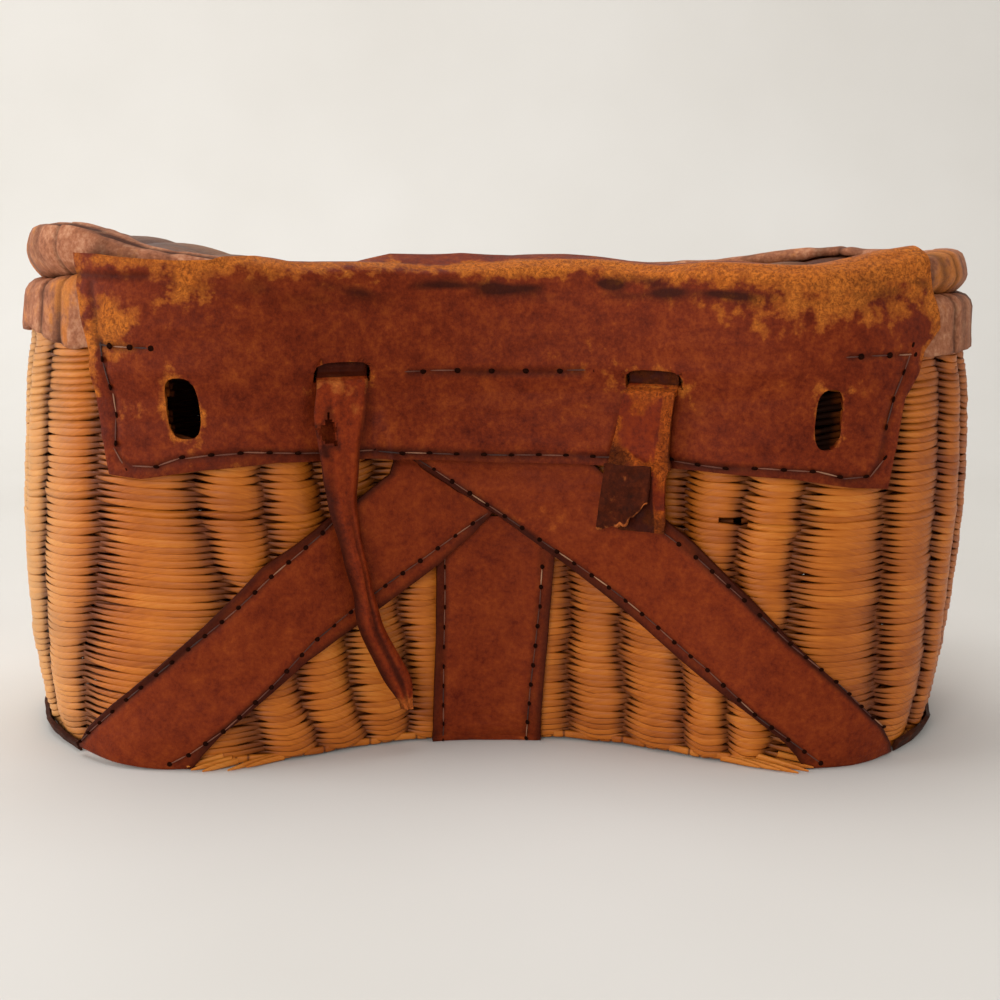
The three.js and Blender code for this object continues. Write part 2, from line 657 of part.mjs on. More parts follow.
const rightStrapRows = [
  { height: 0.915, along: 0.1249, wide: 0.98, room: 0.5, curl: 0 },
  { height: 0.8722, along: 0.1249, wide: 0.98, room: 0.5, curl: 0 },
  { height: 0.8568, along: 0.1249, wide: 0.98, room: 0.48, curl: 0 },
  { height: 0.842, along: 0.1249, wide: 0.98, room: 0.76, curl: 0 },
  { height: 0.8296, along: 0.1249, wide: 0.98, room: 1.78, curl: 0 },
  { height: 0.8111, along: 0.1242, wide: 1, room: 2.25, curl: 0.01 },
  { height: 0.7531, along: 0.1213, wide: 1.06, room: 2.35, curl: 0.01 },
  { height: 0.6975, along: 0.1175, wide: 1.1, room: 2.8, curl: 0.02 },
  { height: 0.6667, along: 0.116, wide: 1.12, room: 3.35, curl: 0.04 },
  { height: 0.6296, along: 0.1137, wide: 1.16, room: 3.3, curl: 0.06 },
  { height: 0.5802, along: 0.112, wide: 1.2, room: 3.1, curl: 0.1 },
  { height: 0.537, along: 0.1104, wide: 1.22, room: 3.5, curl: 0.12 },
  { height: 0.5031, along: 0.11, wide: 1.2, room: 4.2, curl: 0.11 },
];

function strapShape(rows) {
  const across = 4;
  const grid = (side) =>
    rows.map((row, k) => {
      const before = rows[Math.max(0, k - 1)];
      const after = rows[Math.min(rows.length - 1, k + 1)];
      const down = rimHeight * (before.height - after.height);
      const outwards = strapRoom * (after.room - before.room);
      const size = Math.hypot(down, outwards);
      const width = strapWidth * row.wide;
      const line = [];
      for (let i = 0; i <= across; i += 1) {
        const t = i / across;
        const bulge = strapWidth * row.curl * 4 * t * (1 - t);
        const turn = (strapWidth * row.curl * 4 * (1 - 2 * t)) / width;
        const push = (side * 0.5 * leather) / Math.hypot(1, turn);
        const along = half * row.along + width * (t - 0.5) - push * turn;
        const out = rimFace + strapRoom * row.room + bulge + (push * down) / size;
        line.push(place(along, out, rimHeight * row.height + (push * outwards) / size));
      }
      return line;
    });
  return sheet(grid(1), grid(-1));
}

const looks = {
  wicker: { color: 0xb98748, roughness: 0.55 },
  lidWicker: { color: 0xb28046, roughness: 0.6 },
  binding: { color: 0x8f6a58, roughness: 0.6 },
  flap: { color: 0x8a4a30, roughness: 0.5 },
  band: { color: 0x82412a, roughness: 0.5 },
  strap: { color: 0x7d4430, roughness: 0.6 },
  foot: { color: 0x4a2c20, roughness: 0.7 },
};

const group = new THREE.Group();
const pieces = [
  { name: "basket", shape: basketShape(), look: looks.wicker },
  { name: "rim_binding", shape: rimBindingShape(), look: looks.binding },
  { name: "lid", shape: lidShape(), look: looks.lidWicker },
  { name: "lid_binding", shape: lidBindingShape(), look: looks.binding },
  { name: "hinge_flap", shape: flapShape(), look: looks.flap },
  { name: "strap_left", shape: strapShape(leftStrapRows), look: looks.strap },
  { name: "strap_right", shape: strapShape(rightStrapRows), look: looks.strap },
  { name: "band_right", shape: bandShape(rightBandRows, 20, 4), look: looks.band },
  { name: "band_left", shape: bandShape(leftBandRows, 20, 4), look: looks.band },
  { name: "band_centre", shape: bandShape(centreBandRows, 5, 5), look: looks.band },
  { name: "foot_binding", shape: footBindingShape(), look: looks.foot },
];
for (const { name, shape, look } of pieces) {
  const mesh = new THREE.Mesh(shape, new THREE.MeshStandardMaterial({ ...look, metalness: 0 }));
  mesh.name = name;
  group.add(mesh);
}

// the origin is the middle of the footprint, on the surface that the creel stands on
const box = new THREE.Box3().setFromObject(group);
group.position.set(-(box.min.x + box.max.x) / 2, -(box.min.y + box.max.y) / 2, -box.min.z);
group.updateMatrixWorld(true);

export default group;
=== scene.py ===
# %% [markdown]
# # A leather-bound fishing creel
# A creel is a wicker basket that an angler wears on the hip. This one is kidney-shaped, so that its
# hollow back fits the body. Willow weavers are twined round upright stakes, and leather binds the rim and
# the lid, hinges the lid at the back and braces the wall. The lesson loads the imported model, which fixes
# every size, and then makes each piece again with the detail that the plain solids leave out.

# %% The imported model
import math
import bpy
import numpy as np
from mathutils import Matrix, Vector
from mathutils.bvhtree import BVHTree


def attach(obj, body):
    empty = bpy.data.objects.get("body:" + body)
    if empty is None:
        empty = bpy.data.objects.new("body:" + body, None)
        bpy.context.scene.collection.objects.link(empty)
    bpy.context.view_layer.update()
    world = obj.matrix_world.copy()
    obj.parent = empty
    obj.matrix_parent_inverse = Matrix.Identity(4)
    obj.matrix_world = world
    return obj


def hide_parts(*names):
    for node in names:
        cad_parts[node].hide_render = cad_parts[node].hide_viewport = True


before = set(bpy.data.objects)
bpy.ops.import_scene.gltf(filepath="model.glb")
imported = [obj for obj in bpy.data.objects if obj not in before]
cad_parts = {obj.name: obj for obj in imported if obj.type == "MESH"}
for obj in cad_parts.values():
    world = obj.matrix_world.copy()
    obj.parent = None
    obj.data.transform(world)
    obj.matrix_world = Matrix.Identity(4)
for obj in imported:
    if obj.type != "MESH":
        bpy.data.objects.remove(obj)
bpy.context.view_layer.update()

# %% [markdown]
# ## The camera
# The photograph was taken from just behind the creel, level with its lid and tipped down by ten degrees.
# A lens of 50 mm on a 36 mm sensor gives the same spread of the two ends. The standard view shows the
# colours as they are picked.

# %% Camera
tilt = 10.27
camera = bpy.data.objects.new("camera", bpy.data.cameras.new("camera"))
camera.data.lens = 49.68
camera.data.sensor_width = 36
camera.location = (0.0006, -0.53686, 0.178)
camera.rotation_euler = (math.radians(90 - tilt), 0, 0)
bpy.context.scene.collection.objects.link(camera)
bpy.context.scene.camera = camera
bpy.context.scene.view_settings.view_transform = "Standard"
print("camera", tuple(camera.location))


# %% [markdown]
# ## Colours and nodes
# Colours are picked as sRGB hex values, as in a paint program, and Blender wants linear light, so one
# function turns the one into the other. A second one adds a node, sets it up and links it, and a third
# starts a finish, whose patterns all read the place on the piece.

# %% Colour and node helpers
def linear(code):
    parts = [int(code[i : i + 2], 16) / 255 for i in (1, 3, 5)]
    return (*[p / 12.92 if p <= 0.04045 else ((p + 0.055) / 1.055) ** 2.4 for p in parts], 1)


def put(tree, kind, sockets=None, **settings):
    node = tree.nodes.new(kind)
    for name, value in settings.items():
        setattr(node, name, value)
    for name, value in (sockets or {}).items():
        socket = next(s for s in node.inputs if name in (s.identifier, s.name))
        if isinstance(value, bpy.types.NodeSocket):
            tree.links.new(value, socket)
        else:
            socket.default_value = value
    return node


def finish_named(name):
    material = bpy.data.materials.new(name)
    material.use_nodes = True
    tree = material.node_tree
    spot = put(tree, "ShaderNodeTexCoord").outputs["Object"]
    return material, tree, tree.nodes["Principled BSDF"], spot


print("sand in linear light", [round(v, 3) for v in linear("#c8923f")])

# %% [markdown]
# ## Floor and light
# The creel stands on a pale sweep of paper that curves up behind it, in soft light from large panels. The
# sweep is a strip of points pulled along one curve, which hides the line where a floor meets a wall.

# %% The sweep
paper, paper_tree, paper_look, paper_spot = finish_named("matt_pale_paper")
paper_mottle = put(paper_tree, "ShaderNodeTexNoise", {"Vector": paper_spot, "Scale": 5.0, "Detail": 3.0})
paper_mix = {"Factor_Float": paper_mottle.outputs["Fac"]}
paper_mix.update({"A_Color": linear("#cbc7c0"), "B_Color": linear("#d8d5d0")})
paper_tint = put(paper_tree, "ShaderNodeMix", paper_mix, data_type="RGBA")
paper_tree.links.new(paper_tint.outputs[2], paper_look.inputs["Base Color"])
paper_look.inputs["Roughness"].default_value = 0.85

bend_start, bend, bend_steps = 0.45, 0.4, 8
sweep_line = [(-2.2, 0.0), (bend_start, 0.0)]
for step in range(1, bend_steps + 1):
    turn = step / bend_steps * math.pi / 2
    sweep_line.append((bend_start + bend * math.sin(turn), bend - bend * math.cos(turn)))
sweep_line.append((bend_start + bend, 2.2))
sweep_points = [(x, y, z) for y, z in sweep_line for x in (-2.4, 2.4)]
sweep_faces = [(2 * i, 2 * i + 1, 2 * i + 3, 2 * i + 2) for i in range(len(sweep_line) - 1)]
floor_mesh = bpy.data.meshes.new("floor")
floor_mesh.from_pydata(sweep_points, [], sweep_faces)
floor_mesh.shade_smooth()
floor_mesh.materials.append(paper)
floor = bpy.data.objects.new("floor", floor_mesh)
bpy.context.scene.collection.objects.link(floor)

# %% The lights
panels = {
    "overhead": ((-0.2, 0.14, 1.5), (0, 0, 0.08), 1.1, 14),
    "front": ((-0.6, -1.7, 0.6), (0, 0, 0.1), 1.0, 15),
    "left": ((-1.3, -0.2, 0.45), (0, 0, 0.09), 0.8, 9.5),
    "right": ((1.5, -0.6, 0.6), (0, 0, 0.1), 0.8, 5),
}
for name, (spot, aim, size, power) in panels.items():
    light = bpy.data.lights.new(name, "AREA")
    light.size = size
    light.energy = power
    lamp = bpy.data.objects.new(name, light)
    lamp.location = spot
    lamp.rotation_euler = (Vector(aim) - Vector(spot)).to_track_quat("-Z", "Y").to_euler()
    bpy.context.scene.collection.objects.link(lamp)
world = bpy.data.worlds.new("room")
world.use_nodes = True
world.node_tree.nodes["Background"].inputs["Color"].default_value = linear("#f1efec")
world.node_tree.nodes["Background"].inputs["Strength"].default_value = 0.36
bpy.context.scene.world = world
print("lights", list(panels))

# %% [markdown]
# ## The kidney and the wall
# Seen from above, the creel's outline is four arcs that run into each other: a hollow back, two round
# ends and a shallow front. Every piece is placed by three numbers in millimetres: how far along this
# outline, how far out from it, and how high. The same numbers made the model, so the pieces land where it
# stands.

# %% Outline
WIDTH, DEPTH, CROWN, SAG, RIM = 354.0, 168.0, 14.0, 28.0, 162.0
SHIFT = (0.2736, 2.1424)
end_radius = (DEPTH - CROWN) / 2
horn = (WIDTH / 2 - end_radius, end_radius - DEPTH / 2)
back_reach = horn[1] + DEPTH / 2 - SAG
front_reach = DEPTH / 2 - horn[1]
back_radius = (horn[0] ** 2 + back_reach**2 - end_radius**2) / (2 * (end_radius - back_reach))
front_radius = (front_reach**2 + horn[0] ** 2 - end_radius**2) / (2 * (front_reach - end_radius))
back_y = SAG - DEPTH / 2 - back_radius
front_y = DEPTH / 2 - front_radius
back_angle = math.atan2(horn[1] - back_y, horn[0])
front_angle = math.atan2(horn[1] - front_y, horn[0])
end_angle = math.atan2(back_y - horn[1], -horn[0])
back_length = back_radius * (math.pi / 2 - back_angle)
end_length = end_radius * (front_angle - end_angle)
HALF = back_length + end_length + front_radius * (math.pi / 2 - front_angle)


def outline(along):
    s = np.mod(along, 2 * HALF)
    side = np.where(s > HALF, -1.0, 1.0)
    s = np.where(s > HALF, 2 * HALF - s, s)
    arcs = [s <= back_length, s <= back_length + end_length]
    turns = [math.pi / 2 - s / back_radius, end_angle + (s - back_length) / end_radius]
    angle = np.select(arcs, turns, front_angle + (s - back_length - end_length) / front_radius)
    radius = np.select(arcs, [back_radius, end_radius], front_radius)
    centre_x = np.select(arcs, [0, horn[0]], 0)
    centre_y = np.select(arcs, [back_y, horn[1]], front_y)
    facing = np.where(arcs[0], -1.0, 1.0)
    c, d = np.cos(angle), np.sin(angle)
    return side * (centre_x + radius * c), centre_y + radius * d, side * facing * c, facing * d


print("half of the way round", round(HALF, 1), "mm")

# %% [markdown]
# Four small helpers serve all that comes: a bell that stands round one value, a fade that climbs from
# nought to one between two values, the way along the outline counted from the middle of the back,
# negative to the left, and the length run at each point of a line.

# %% Shaping helpers
def bell(value, middle, reach):
    return np.exp(-(((value - middle) / reach) ** 2))


def fade(value, start, stop):
    return np.clip((value - start) / (stop - start), 0, 1)


def from_back(along):
    return (along + HALF) % (2 * HALF) - HALF


def run_along(line):
    return np.concatenate([[0], np.cumsum(np.hypot(*np.diff(line, axis=0).T))])


print("a bell at one reach", round(float(bell(1, 0, 1)), 3))

# %% [markdown]
# The wall bulges a little at mid height, draws in under the rim and turns under at the foot. The rim and
# the lid rise towards the left end, where the old basket has warped, and the right end leans in at its
# foot. The far side of rim and lid has sunk at the left and risen at the right, and the near side of the
# lid has sunk a little at the right. The left end bellies out low down, and the two back corners of the
# foot stand out.

# %% Wall, rim and lid heights
wall_height = [0, 0.01, 0.031, 0.075, 0.25, 0.5, 0.68, 0.8, 0.87, 0.9]
wall_stand = [-0.037, -0.031, -0.0245, -0.0185, -0.0088, 0, -0.0034, -0.0093, -0.0164, -0.0198]
wall_relief = [0.35, 0.5, 0.8, 1, 1, 1, 1, 1, 0.7, 0.3]
lean_height = [0, 0.05, 0.11, 0.2, 0.29, 0.38, 0.55, 0.62, 1, 1.06]
lean_pull = [0.039, 0.034, 0.027, 0.0175, 0.0125, 0.008, 0.002, 0, 0.004, 0.022]
swell_height = [0, 0.1, 0.23, 0.38, 0.52, 0.66, 0.93, 1.02, 1.08]
swell_reach = [2.6, 3.6, 5.6, 5.5, 4.1, 2.4, 1.2, -1, -2.4]
edge_across = [-1, -0.87, -0.735, -0.66, -0.55, -0.38, -0.25, -0.1, 0.12, 0.36, 0.55, 0.74, 0.85, 1]
rim_level = [1.034, 1.043, 1.042, 1.035, 1.006, 0.972, 0.975]
rim_level += [0.982, 0.985, 0.978, 0.978, 0.988, 1.003, 1.006]
roll_level = [1.151, 1.16, 1.148, 1.125, 1.098, 1.056, 1.06]
roll_level += [1.066, 1.071, 1.06, 1.06, 1.082, 1.095, 1.098]
rim_drop = [1, 1, 1, 1, 0.75, 0.5, 0.5, 0.5, 0.5, 0.5, 0.6, 0.9, 1, 1]
far_left = ([-178, -167, -158, -148, -131, -107, -85, -60], [0, -1.2, -4.5, -8.5, -10.4, -6.2, -3.8, 0])
far_right = ([40, 80, 120, 150, 170], [0, 2.2, 2.6, 2.6, 0.6])
near_right = ([60, 90, 120, 150, 168], [0, -0.6, -1.8, -1.3, 0.2])
LEATHER, BAND, GAP = 2.2, 1.6, 0.35
RIB, SLACK = 1.3, 0.45


def edge(x, levels):
    asides = (-0.05, 0, 0, 0.05)
    return sum(np.interp(2 * x / WIDTH + a, edge_across, levels) for a in asides) / 4


def wall_out(z):
    return RIM * np.interp(z / RIM, wall_height, wall_stand)


def settled(x, y):
    far = fade(y, 12, 47)
    far = far * far * (3 - 2 * far)
    near = 1 - far
    return far * np.interp(x, *far_left), far * np.interp(x, *far_right), near * np.interp(x, *near_right)


def rim_z(x, y):
    left, right, _ = settled(x, y)
    return RIM * edge(x, rim_level) + 0.7 * left + 0.6 * right


def roll_z(x, y):
    return RIM * edge(x, roll_level) + sum(settled(x, y))


def crest(z):
    return wall_out(z) + RIB * np.interp(z / RIM, wall_height, wall_relief)


def place(along, out, z):
    x, y, nx, ny = outline(along)
    corner = 4.5 * bell(from_back(along), -137, 24) + 2.5 * bell(from_back(along), 133, 22)
    out = out + corner * np.interp(z, [0, 5, 25, 45], [1, 0.85, 0.3, 0])
    x = x + nx * out
    beyond = np.maximum(0, (2 * x / WIDTH - 0.4) / 0.6)
    x = x - 0.5 * WIDTH * beyond * np.interp(z / RIM, lean_height, lean_pull)
    x = x - np.maximum(0, (-2 * x / WIDTH - 0.5) / 0.5) * np.interp(z / RIM, swell_height, swell_reach)
    return np.stack(np.broadcast_arrays(x + SHIFT[0], y + ny * out + SHIFT[1], z), -1)


top_crest = wall_stand[-1] * RIM + RIB * wall_relief[-1]
binding_face = top_crest + GAP + 1.1 * LEATHER
rim_face = binding_face + SLACK
print("rim face stands", round(rim_face, 2), "mm out; the middle of the back is at", place(0, 0, 80.0))

# %% [markdown]
# ## Meshes from grids
# Most pieces start as a grid of points, worked out with numpy for the whole piece at once. One helper
# makes the mesh, turns millimetres into metres and stores extra values for the materials on the points.
# Soft random fields, which repeat at their edges, give the unevenness of handwork.

# %% Mesh and noise helpers
def piece_from(name, points, faces=(), edges=(), marks=None, material=None):
    mesh = bpy.data.meshes.new(name)
    points = np.array(points, float).reshape(-1, 3) * 0.001
    points[:, 2] = np.maximum(points[:, 2], 0.0001)
    mesh.from_pydata(points, edges, faces)
    for mark, values in (marks or {}).items():
        layer = mesh.attributes.new(mark, "FLOAT", "POINT")
        layer.data.foreach_set("value", np.asarray(values, np.float32).ravel())
    mesh.shade_smooth()
    if material:
        mesh.materials.append(material)
    thing = bpy.data.objects.new(name, mesh)
    bpy.context.scene.collection.objects.link(thing)
    return thing


def on_points(marks, shape, used):
    return {mark: np.broadcast_to(values, shape).ravel()[used] for mark, values in marks.items()}


def grid_faces(rows, columns, keep=None, ring=False, turn=False):
    index = np.arange(rows * columns).reshape(rows, columns)
    if ring:
        index = np.concatenate([index, index[:, :1]], 1)
    quads = np.stack([index[:-1, :-1], index[:-1, 1:], index[1:, 1:], index[1:, :-1]], -1).reshape(-1, 4)
    if keep is not None:
        quads = quads[keep.ravel()[quads].any(1)]
    return quads[:, ::-1] if turn else quads


def soft_noise(rows, columns, row_reach, column_reach, seed):
    wild = np.random.default_rng(seed).standard_normal((rows, columns))
    spread = (np.fft.fftfreq(rows)[:, None] * row_reach) ** 2
    spread = spread + (np.fft.rfftfreq(columns)[None] * column_reach) ** 2
    field = np.fft.irfft2(np.fft.rfft2(wild) * np.exp(-2 * math.pi**2 * spread), s=(rows, columns))
    return field / field.std()


def plain(thing, name):
    graph = bpy.context.evaluated_depsgraph_get()
    mesh = bpy.data.meshes.new_from_object(thing.evaluated_get(graph), depsgraph=graph)
    bpy.data.objects.remove(thing)
    mesh.name = name
    result = bpy.data.objects.new(name, mesh)
    bpy.context.scene.collection.objects.link(result)
    print(name, len(mesh.polygons), "faces")
    return result


print("noise spread", soft_noise(8, 8, 1, 1, 1).std().round(2))


# %% [markdown]
# ## Split willow
# Creels are woven of willow rods split and shaved to thin skeins. Age turns them from cream to honey,
# with dirt and old varnish in the hollows. The colour follows each strand by values stored on its
# points: `tone` differs from float to float, `hollow` grows where a strand dives between the stakes, and
# `run` is the distance along the strand, which stretches the fibres lengthwise. The fibres are drawn 0.4
# mm wide. Three coats lie over the ramp: a paler left end, which is painted light; a darker brown where a
# strand dives, part dirt and part painted shade; and a near black that paints the shade inside the basket
# behind a hole, where `hollow` goes past one.

# %% Willow finish
def willow(name, pale, mid, dark):
    material, tree, look, spot = finish_named(name)
    split = put(tree, "ShaderNodeSeparateXYZ", {"Vector": spot})
    marks = [put(tree, "ShaderNodeAttribute", attribute_name=mark) for mark in ("run", "tone", "hollow")]
    run, tone, hollow = [mark.outputs["Fac"] for mark in marks]
    crosswise = put(tree, "ShaderNodeMath", {"Value": split.outputs["Y"], "Value_001": split.outputs["Z"]})
    offset = put(tree, "ShaderNodeMath", {"Value": tone, "Value_001": 9.0}, operation="MULTIPLY")
    along = put(tree, "ShaderNodeMath", {"Value": run, "Value_001": 0.06}, operation="MULTIPLY")
    fibre_place = {"X": along.outputs[0], "Y": crosswise.outputs[0], "Z": offset.outputs[0]}
    fibre_spot = put(tree, "ShaderNodeCombineXYZ", fibre_place)
    noises = (
        {"Vector": fibre_spot.outputs[0], "Scale": 1500.0, "Detail": 3.0, "Roughness": 0.65},
        {"Vector": spot, "Scale": 28.0, "Detail": 4.0, "Roughness": 0.6},
    )
    fibre, stain = [put(tree, "ShaderNodeTexNoise", noise) for noise in noises]
    shade = tone
    for noise, share in ((fibre, 0.55), (stain, 0.9)):
        added = {"Value": noise.outputs["Fac"], "Value_001": share, "Value_002": shade}
        shade = put(tree, "ShaderNodeMath", added, operation="MULTIPLY_ADD").outputs[0]
    level = put(tree, "ShaderNodeMapRange", {"Value": shade, "From Min": 0.45, "From Max": 1.55})
    ramp = put(tree, "ShaderNodeValToRGB", {"Fac": level.outputs["Result"]})
    ramp.color_ramp.elements[0].color = linear(dark)
    ramp.color_ramp.elements[1].color = linear(pale)
    ramp.color_ramp.elements.new(0.45).color = linear(mid)
    skin = ramp.outputs["Color"]
    for source, start, stop, most, growth, coat in (
        # Painted light: the left end of the wall is made paler.
        (split.outputs["X"], -0.142, -0.176, 0.5, "LINEAR", "#e2b878"),
        # Dirt and painted shade: darker brown where a strand dives between the stakes.
        (hollow, 0.12, 1.0, 0.78, "SMOOTHSTEP", "#451706"),
        # Painted shade: near black inside the basket behind a hole.
        (hollow, 1.0, 2.0, 0.9, "LINEAR", "#0c0503"),
    ):
        span = {"Value": source, "From Min": start, "From Max": stop, "To Max": most}
        cover = put(tree, "ShaderNodeMapRange", span, interpolation_type=growth)
        layer = {"Factor_Float": cover.outputs["Result"], "A_Color": skin, "B_Color": linear(coat)}
        skin = put(tree, "ShaderNodeMix", layer, data_type="RGBA").outputs[2]
    fibre_relief = {"Height": fibre.outputs["Fac"], "Strength": 0.35, "Distance": 0.0004}
    bump = put(tree, "ShaderNodeBump", fibre_relief)
    tree.links.new(skin, look.inputs["Base Color"])
    tree.links.new(bump.outputs["Normal"], look.inputs["Normal"])
    rough = put(tree, "ShaderNodeMapRange", {"Value": fibre.outputs["Fac"], "To Min": 0.32, "To Max": 0.6})
    tree.links.new(rough.outputs["Result"], look.inputs["Roughness"])
    look.inputs["Specular IOR Level"].default_value = 0.22
    return material


willow_wall = willow("varnished_split_willow", "#e09640", "#ba661c", "#7f370c")
# The lid's willow is a darker copy of the wall's: painted shade, as the lid lies in shadow under the roll.
lid_willow_painted_shade = willow("shade_darkened_lid_willow", "#9a6230", "#70401c", "#40200e")
print("willow finishes ready")


# %% [markdown]
# ## Sweeping a strand
# A strand is a line that is given a section. Python works out the lines, and a Geometry Nodes tree sweeps
# an oval along all of them at once. The oval is turned by half a side, so that a flat side faces out.
# `swell` on the points thins a strand where it squeezes past its neighbour.

# %% The sweeping tree
def tree_with(name, numbers):
    tree = bpy.data.node_groups.new(name, "GeometryNodeTree")
    tree.interface.new_socket("Geometry", in_out="INPUT", socket_type="NodeSocketGeometry")
    for label, kind in numbers.items():
        tree.interface.new_socket(label, in_out="INPUT", socket_type=kind)
    tree.interface.new_socket("Geometry", in_out="OUTPUT", socket_type="NodeSocketGeometry")
    return tree, put(tree, "NodeGroupInput").outputs


sizes = {
    "Depth": "NodeSocketFloat",
    "Height": "NodeSocketFloat",
    "Sides": "NodeSocketInt",
    "Finish": "NodeSocketMaterial",
}
sweep_tree, given = tree_with("swept_strands", sizes)
lines = put(sweep_tree, "GeometryNodeMeshToCurve", {"Mesh": given["Geometry"]})
upright = put(sweep_tree, "GeometryNodeSetCurveNormal", {"Curve": lines.outputs[0]}, mode="Z_UP")
length = put(sweep_tree, "GeometryNodeSplineParameter").outputs["Length"]
run_mark = {"Geometry": upright.outputs[0], "Name": "run", "Value": length}
measured = put(sweep_tree, "GeometryNodeStoreNamedAttribute", run_mark)
section = put(sweep_tree, "GeometryNodeCurvePrimitiveCircle", {"Resolution": given["Sides"], "Radius": 1.0})
per_side = {"Value": math.pi, "Value_001": given["Sides"]}
half_side = put(sweep_tree, "ShaderNodeMath", per_side, operation="DIVIDE")
flat_side_out = put(sweep_tree, "ShaderNodeCombineXYZ", {"Z": half_side.outputs[0]})
oval_size = put(sweep_tree, "ShaderNodeCombineXYZ", {"X": given["Depth"], "Y": given["Height"], "Z": 1.0})
for change, amount in (("Rotation", flat_side_out), ("Scale", oval_size)):
    moved = {"Geometry": section.outputs[0], change: amount.outputs[0]}
    section = put(sweep_tree, "GeometryNodeTransform", moved)
swell = put(sweep_tree, "GeometryNodeInputNamedAttribute", {"Name": "swell"})
sweep = {
    "Curve": measured.outputs[0],
    "Profile Curve": section.outputs[0],
    "Scale": swell.outputs["Attribute"],
    "Fill Caps": True,
}
swept = put(sweep_tree, "GeometryNodeCurveToMesh", sweep)
real = put(sweep_tree, "GeometryNodeRealizeInstances", {"Geometry": swept.outputs[0]})
coat = {"Geometry": real.outputs[0], "Material": given["Finish"]}
coated = put(sweep_tree, "GeometryNodeSetMaterial", coat)
put(sweep_tree, "NodeGroupOutput", {"Geometry": coated.outputs[0]})


def run_tree(thing, tree, name, values):
    modifier = thing.modifiers.new("tree", "NODES")
    modifier.node_group = tree
    for item in tree.interface.items_tree:
        if item.name in values:
            modifier[item.identifier] = values[item.name]
    return plain(thing, name)


def strands(name, points, keep, closed, marks, depth, height, sides, finish):
    count, steps = keep.shape
    index = np.arange(count * steps).reshape(count, steps)
    ahead = np.roll(index, -1, 1)
    joined = keep & np.roll(keep, -1, 1)
    if not closed:
        joined[:, -1] = False
    edges = np.stack([index[joined], ahead[joined]], 1)
    used, edges = np.unique(edges, return_inverse=True)
    marks = on_points(marks, keep.shape, used)
    lines = piece_from(name, points.reshape(-1, 3)[used], edges=edges.reshape(-1, 2), marks=marks)
    values = {"Depth": depth * 0.001, "Height": height * 0.001, "Sides": sides, "Finish": finish}
    result = run_tree(lines, sweep_tree, name, values)
    result.data.shade_smooth()
    return result


print("sweeping tree", len(sweep_tree.nodes), "nodes")

# %% [markdown]
# ## The twined wall
# Twining uses two weavers at a time. They pass a stake one in front and one behind, and swap places
# between the stakes. The skeins lie flat and broad over a stake, where the rows close up, and turn on
# edge where they dive, so that dark wedges open between the rows there. That is a rule: the distance from
# the wall's middle follows a sine of the turn, and the strand's size and slope follow its place in the
# float. The places where the strands swap were read off the photograph, high and low on the wall, because
# the columns lean.

# %% Stakes and rows
PITCHES, ROWS, SAMPLES = 38, 66, 8
FLOOR_GAP = 3.2
swap_high = [-176, -143.5, -104.6, -85, -64, -42, -20, 3, 25.5, 46.8, 67.5, 88, 108, 139.2, 167]
swap_low = [-183, -155, -92.5, -72, -51.5, -33, -17, 3, 25.8, 46.3, 66.5, 84, 101, 141, 171]
unseen = PITCHES + 1 - len(swap_high)
unseen_shares = np.arange(1, unseen) / unseen
junctions = []
for seen in (swap_low, swap_high):
    junctions.append(np.array([*seen, *(seen[-1] + (seen[0] + 2 * HALF - seen[-1]) * unseen_shares)]))
fine_z = np.linspace(0, 178, 713)
fine_out = np.convolve(np.pad(wall_out(fine_z), 12, "edge"), np.hanning(25) / np.hanning(25).sum(), "valid")
fine_run = run_along(np.stack([fine_z, fine_out], -1))
lean_out = np.gradient(fine_out, fine_run)
lean_up = np.gradient(fine_z, fine_run)


def on_wall(along, lift, climbed):
    out = np.interp(climbed, fine_run, fine_out) + lift * np.interp(climbed, fine_run, lean_up)
    z = np.interp(climbed, fine_run, fine_z) - lift * np.interp(climbed, fine_run, lean_out)
    splay = 2.2 * bell(np.abs(from_back(along)), 103, 11) * fade(z, 10, 0)
    return out + splay, z


def swap_places(z):
    share = np.clip((np.asarray(z) - 20) / 68, -0.3, 1.2)[:, None]
    places = junctions[0] + (junctions[1] - junctions[0]) * share
    return np.concatenate([places, places[:, :1] + 2 * HALF], 1)


turns = np.arange(PITCHES * SAMPLES) / SAMPLES
drift = 1.3 * soft_noise(ROWS, PITCHES, 5, 0.6, 11) + 0.6 * soft_noise(ROWS, PITCHES, 0.6, 0.3, 12)
drift = np.concatenate([drift, drift[:, :1]], 1)
row_places = swap_places(np.linspace(1, 158, ROWS)) + drift
along = np.stack([np.interp(turns, np.arange(PITCHES + 1), places) for places in row_places])
signed = from_back(along)
top = np.interp(rim_z(*outline(along)[:2]) - 6, fine_z, fine_run)
climbed = FLOOR_GAP + (top - FLOOR_GAP) * np.linspace(0, 1, ROWS)[:, None]
climbed = climbed + 0.14 * soft_noise(ROWS, turns.size, 0.4, 14, 21)
print("rows", ROWS, "about", round(float(np.diff(climbed, axis=0).mean()), 2), "mm apart")

# %% [markdown]
# The leather flap has two upright oval holes. Behind the left one the wall is open, and behind the right
# one only the outer weavers are gone and the inner ones lie in the dark. Strands are cut there, and one
# float has snapped off. An oval is its place along the back, its height, and half its width and its
# height. On the left of the back the floats rise to their right end, and on the right of it they start
# high and fall.

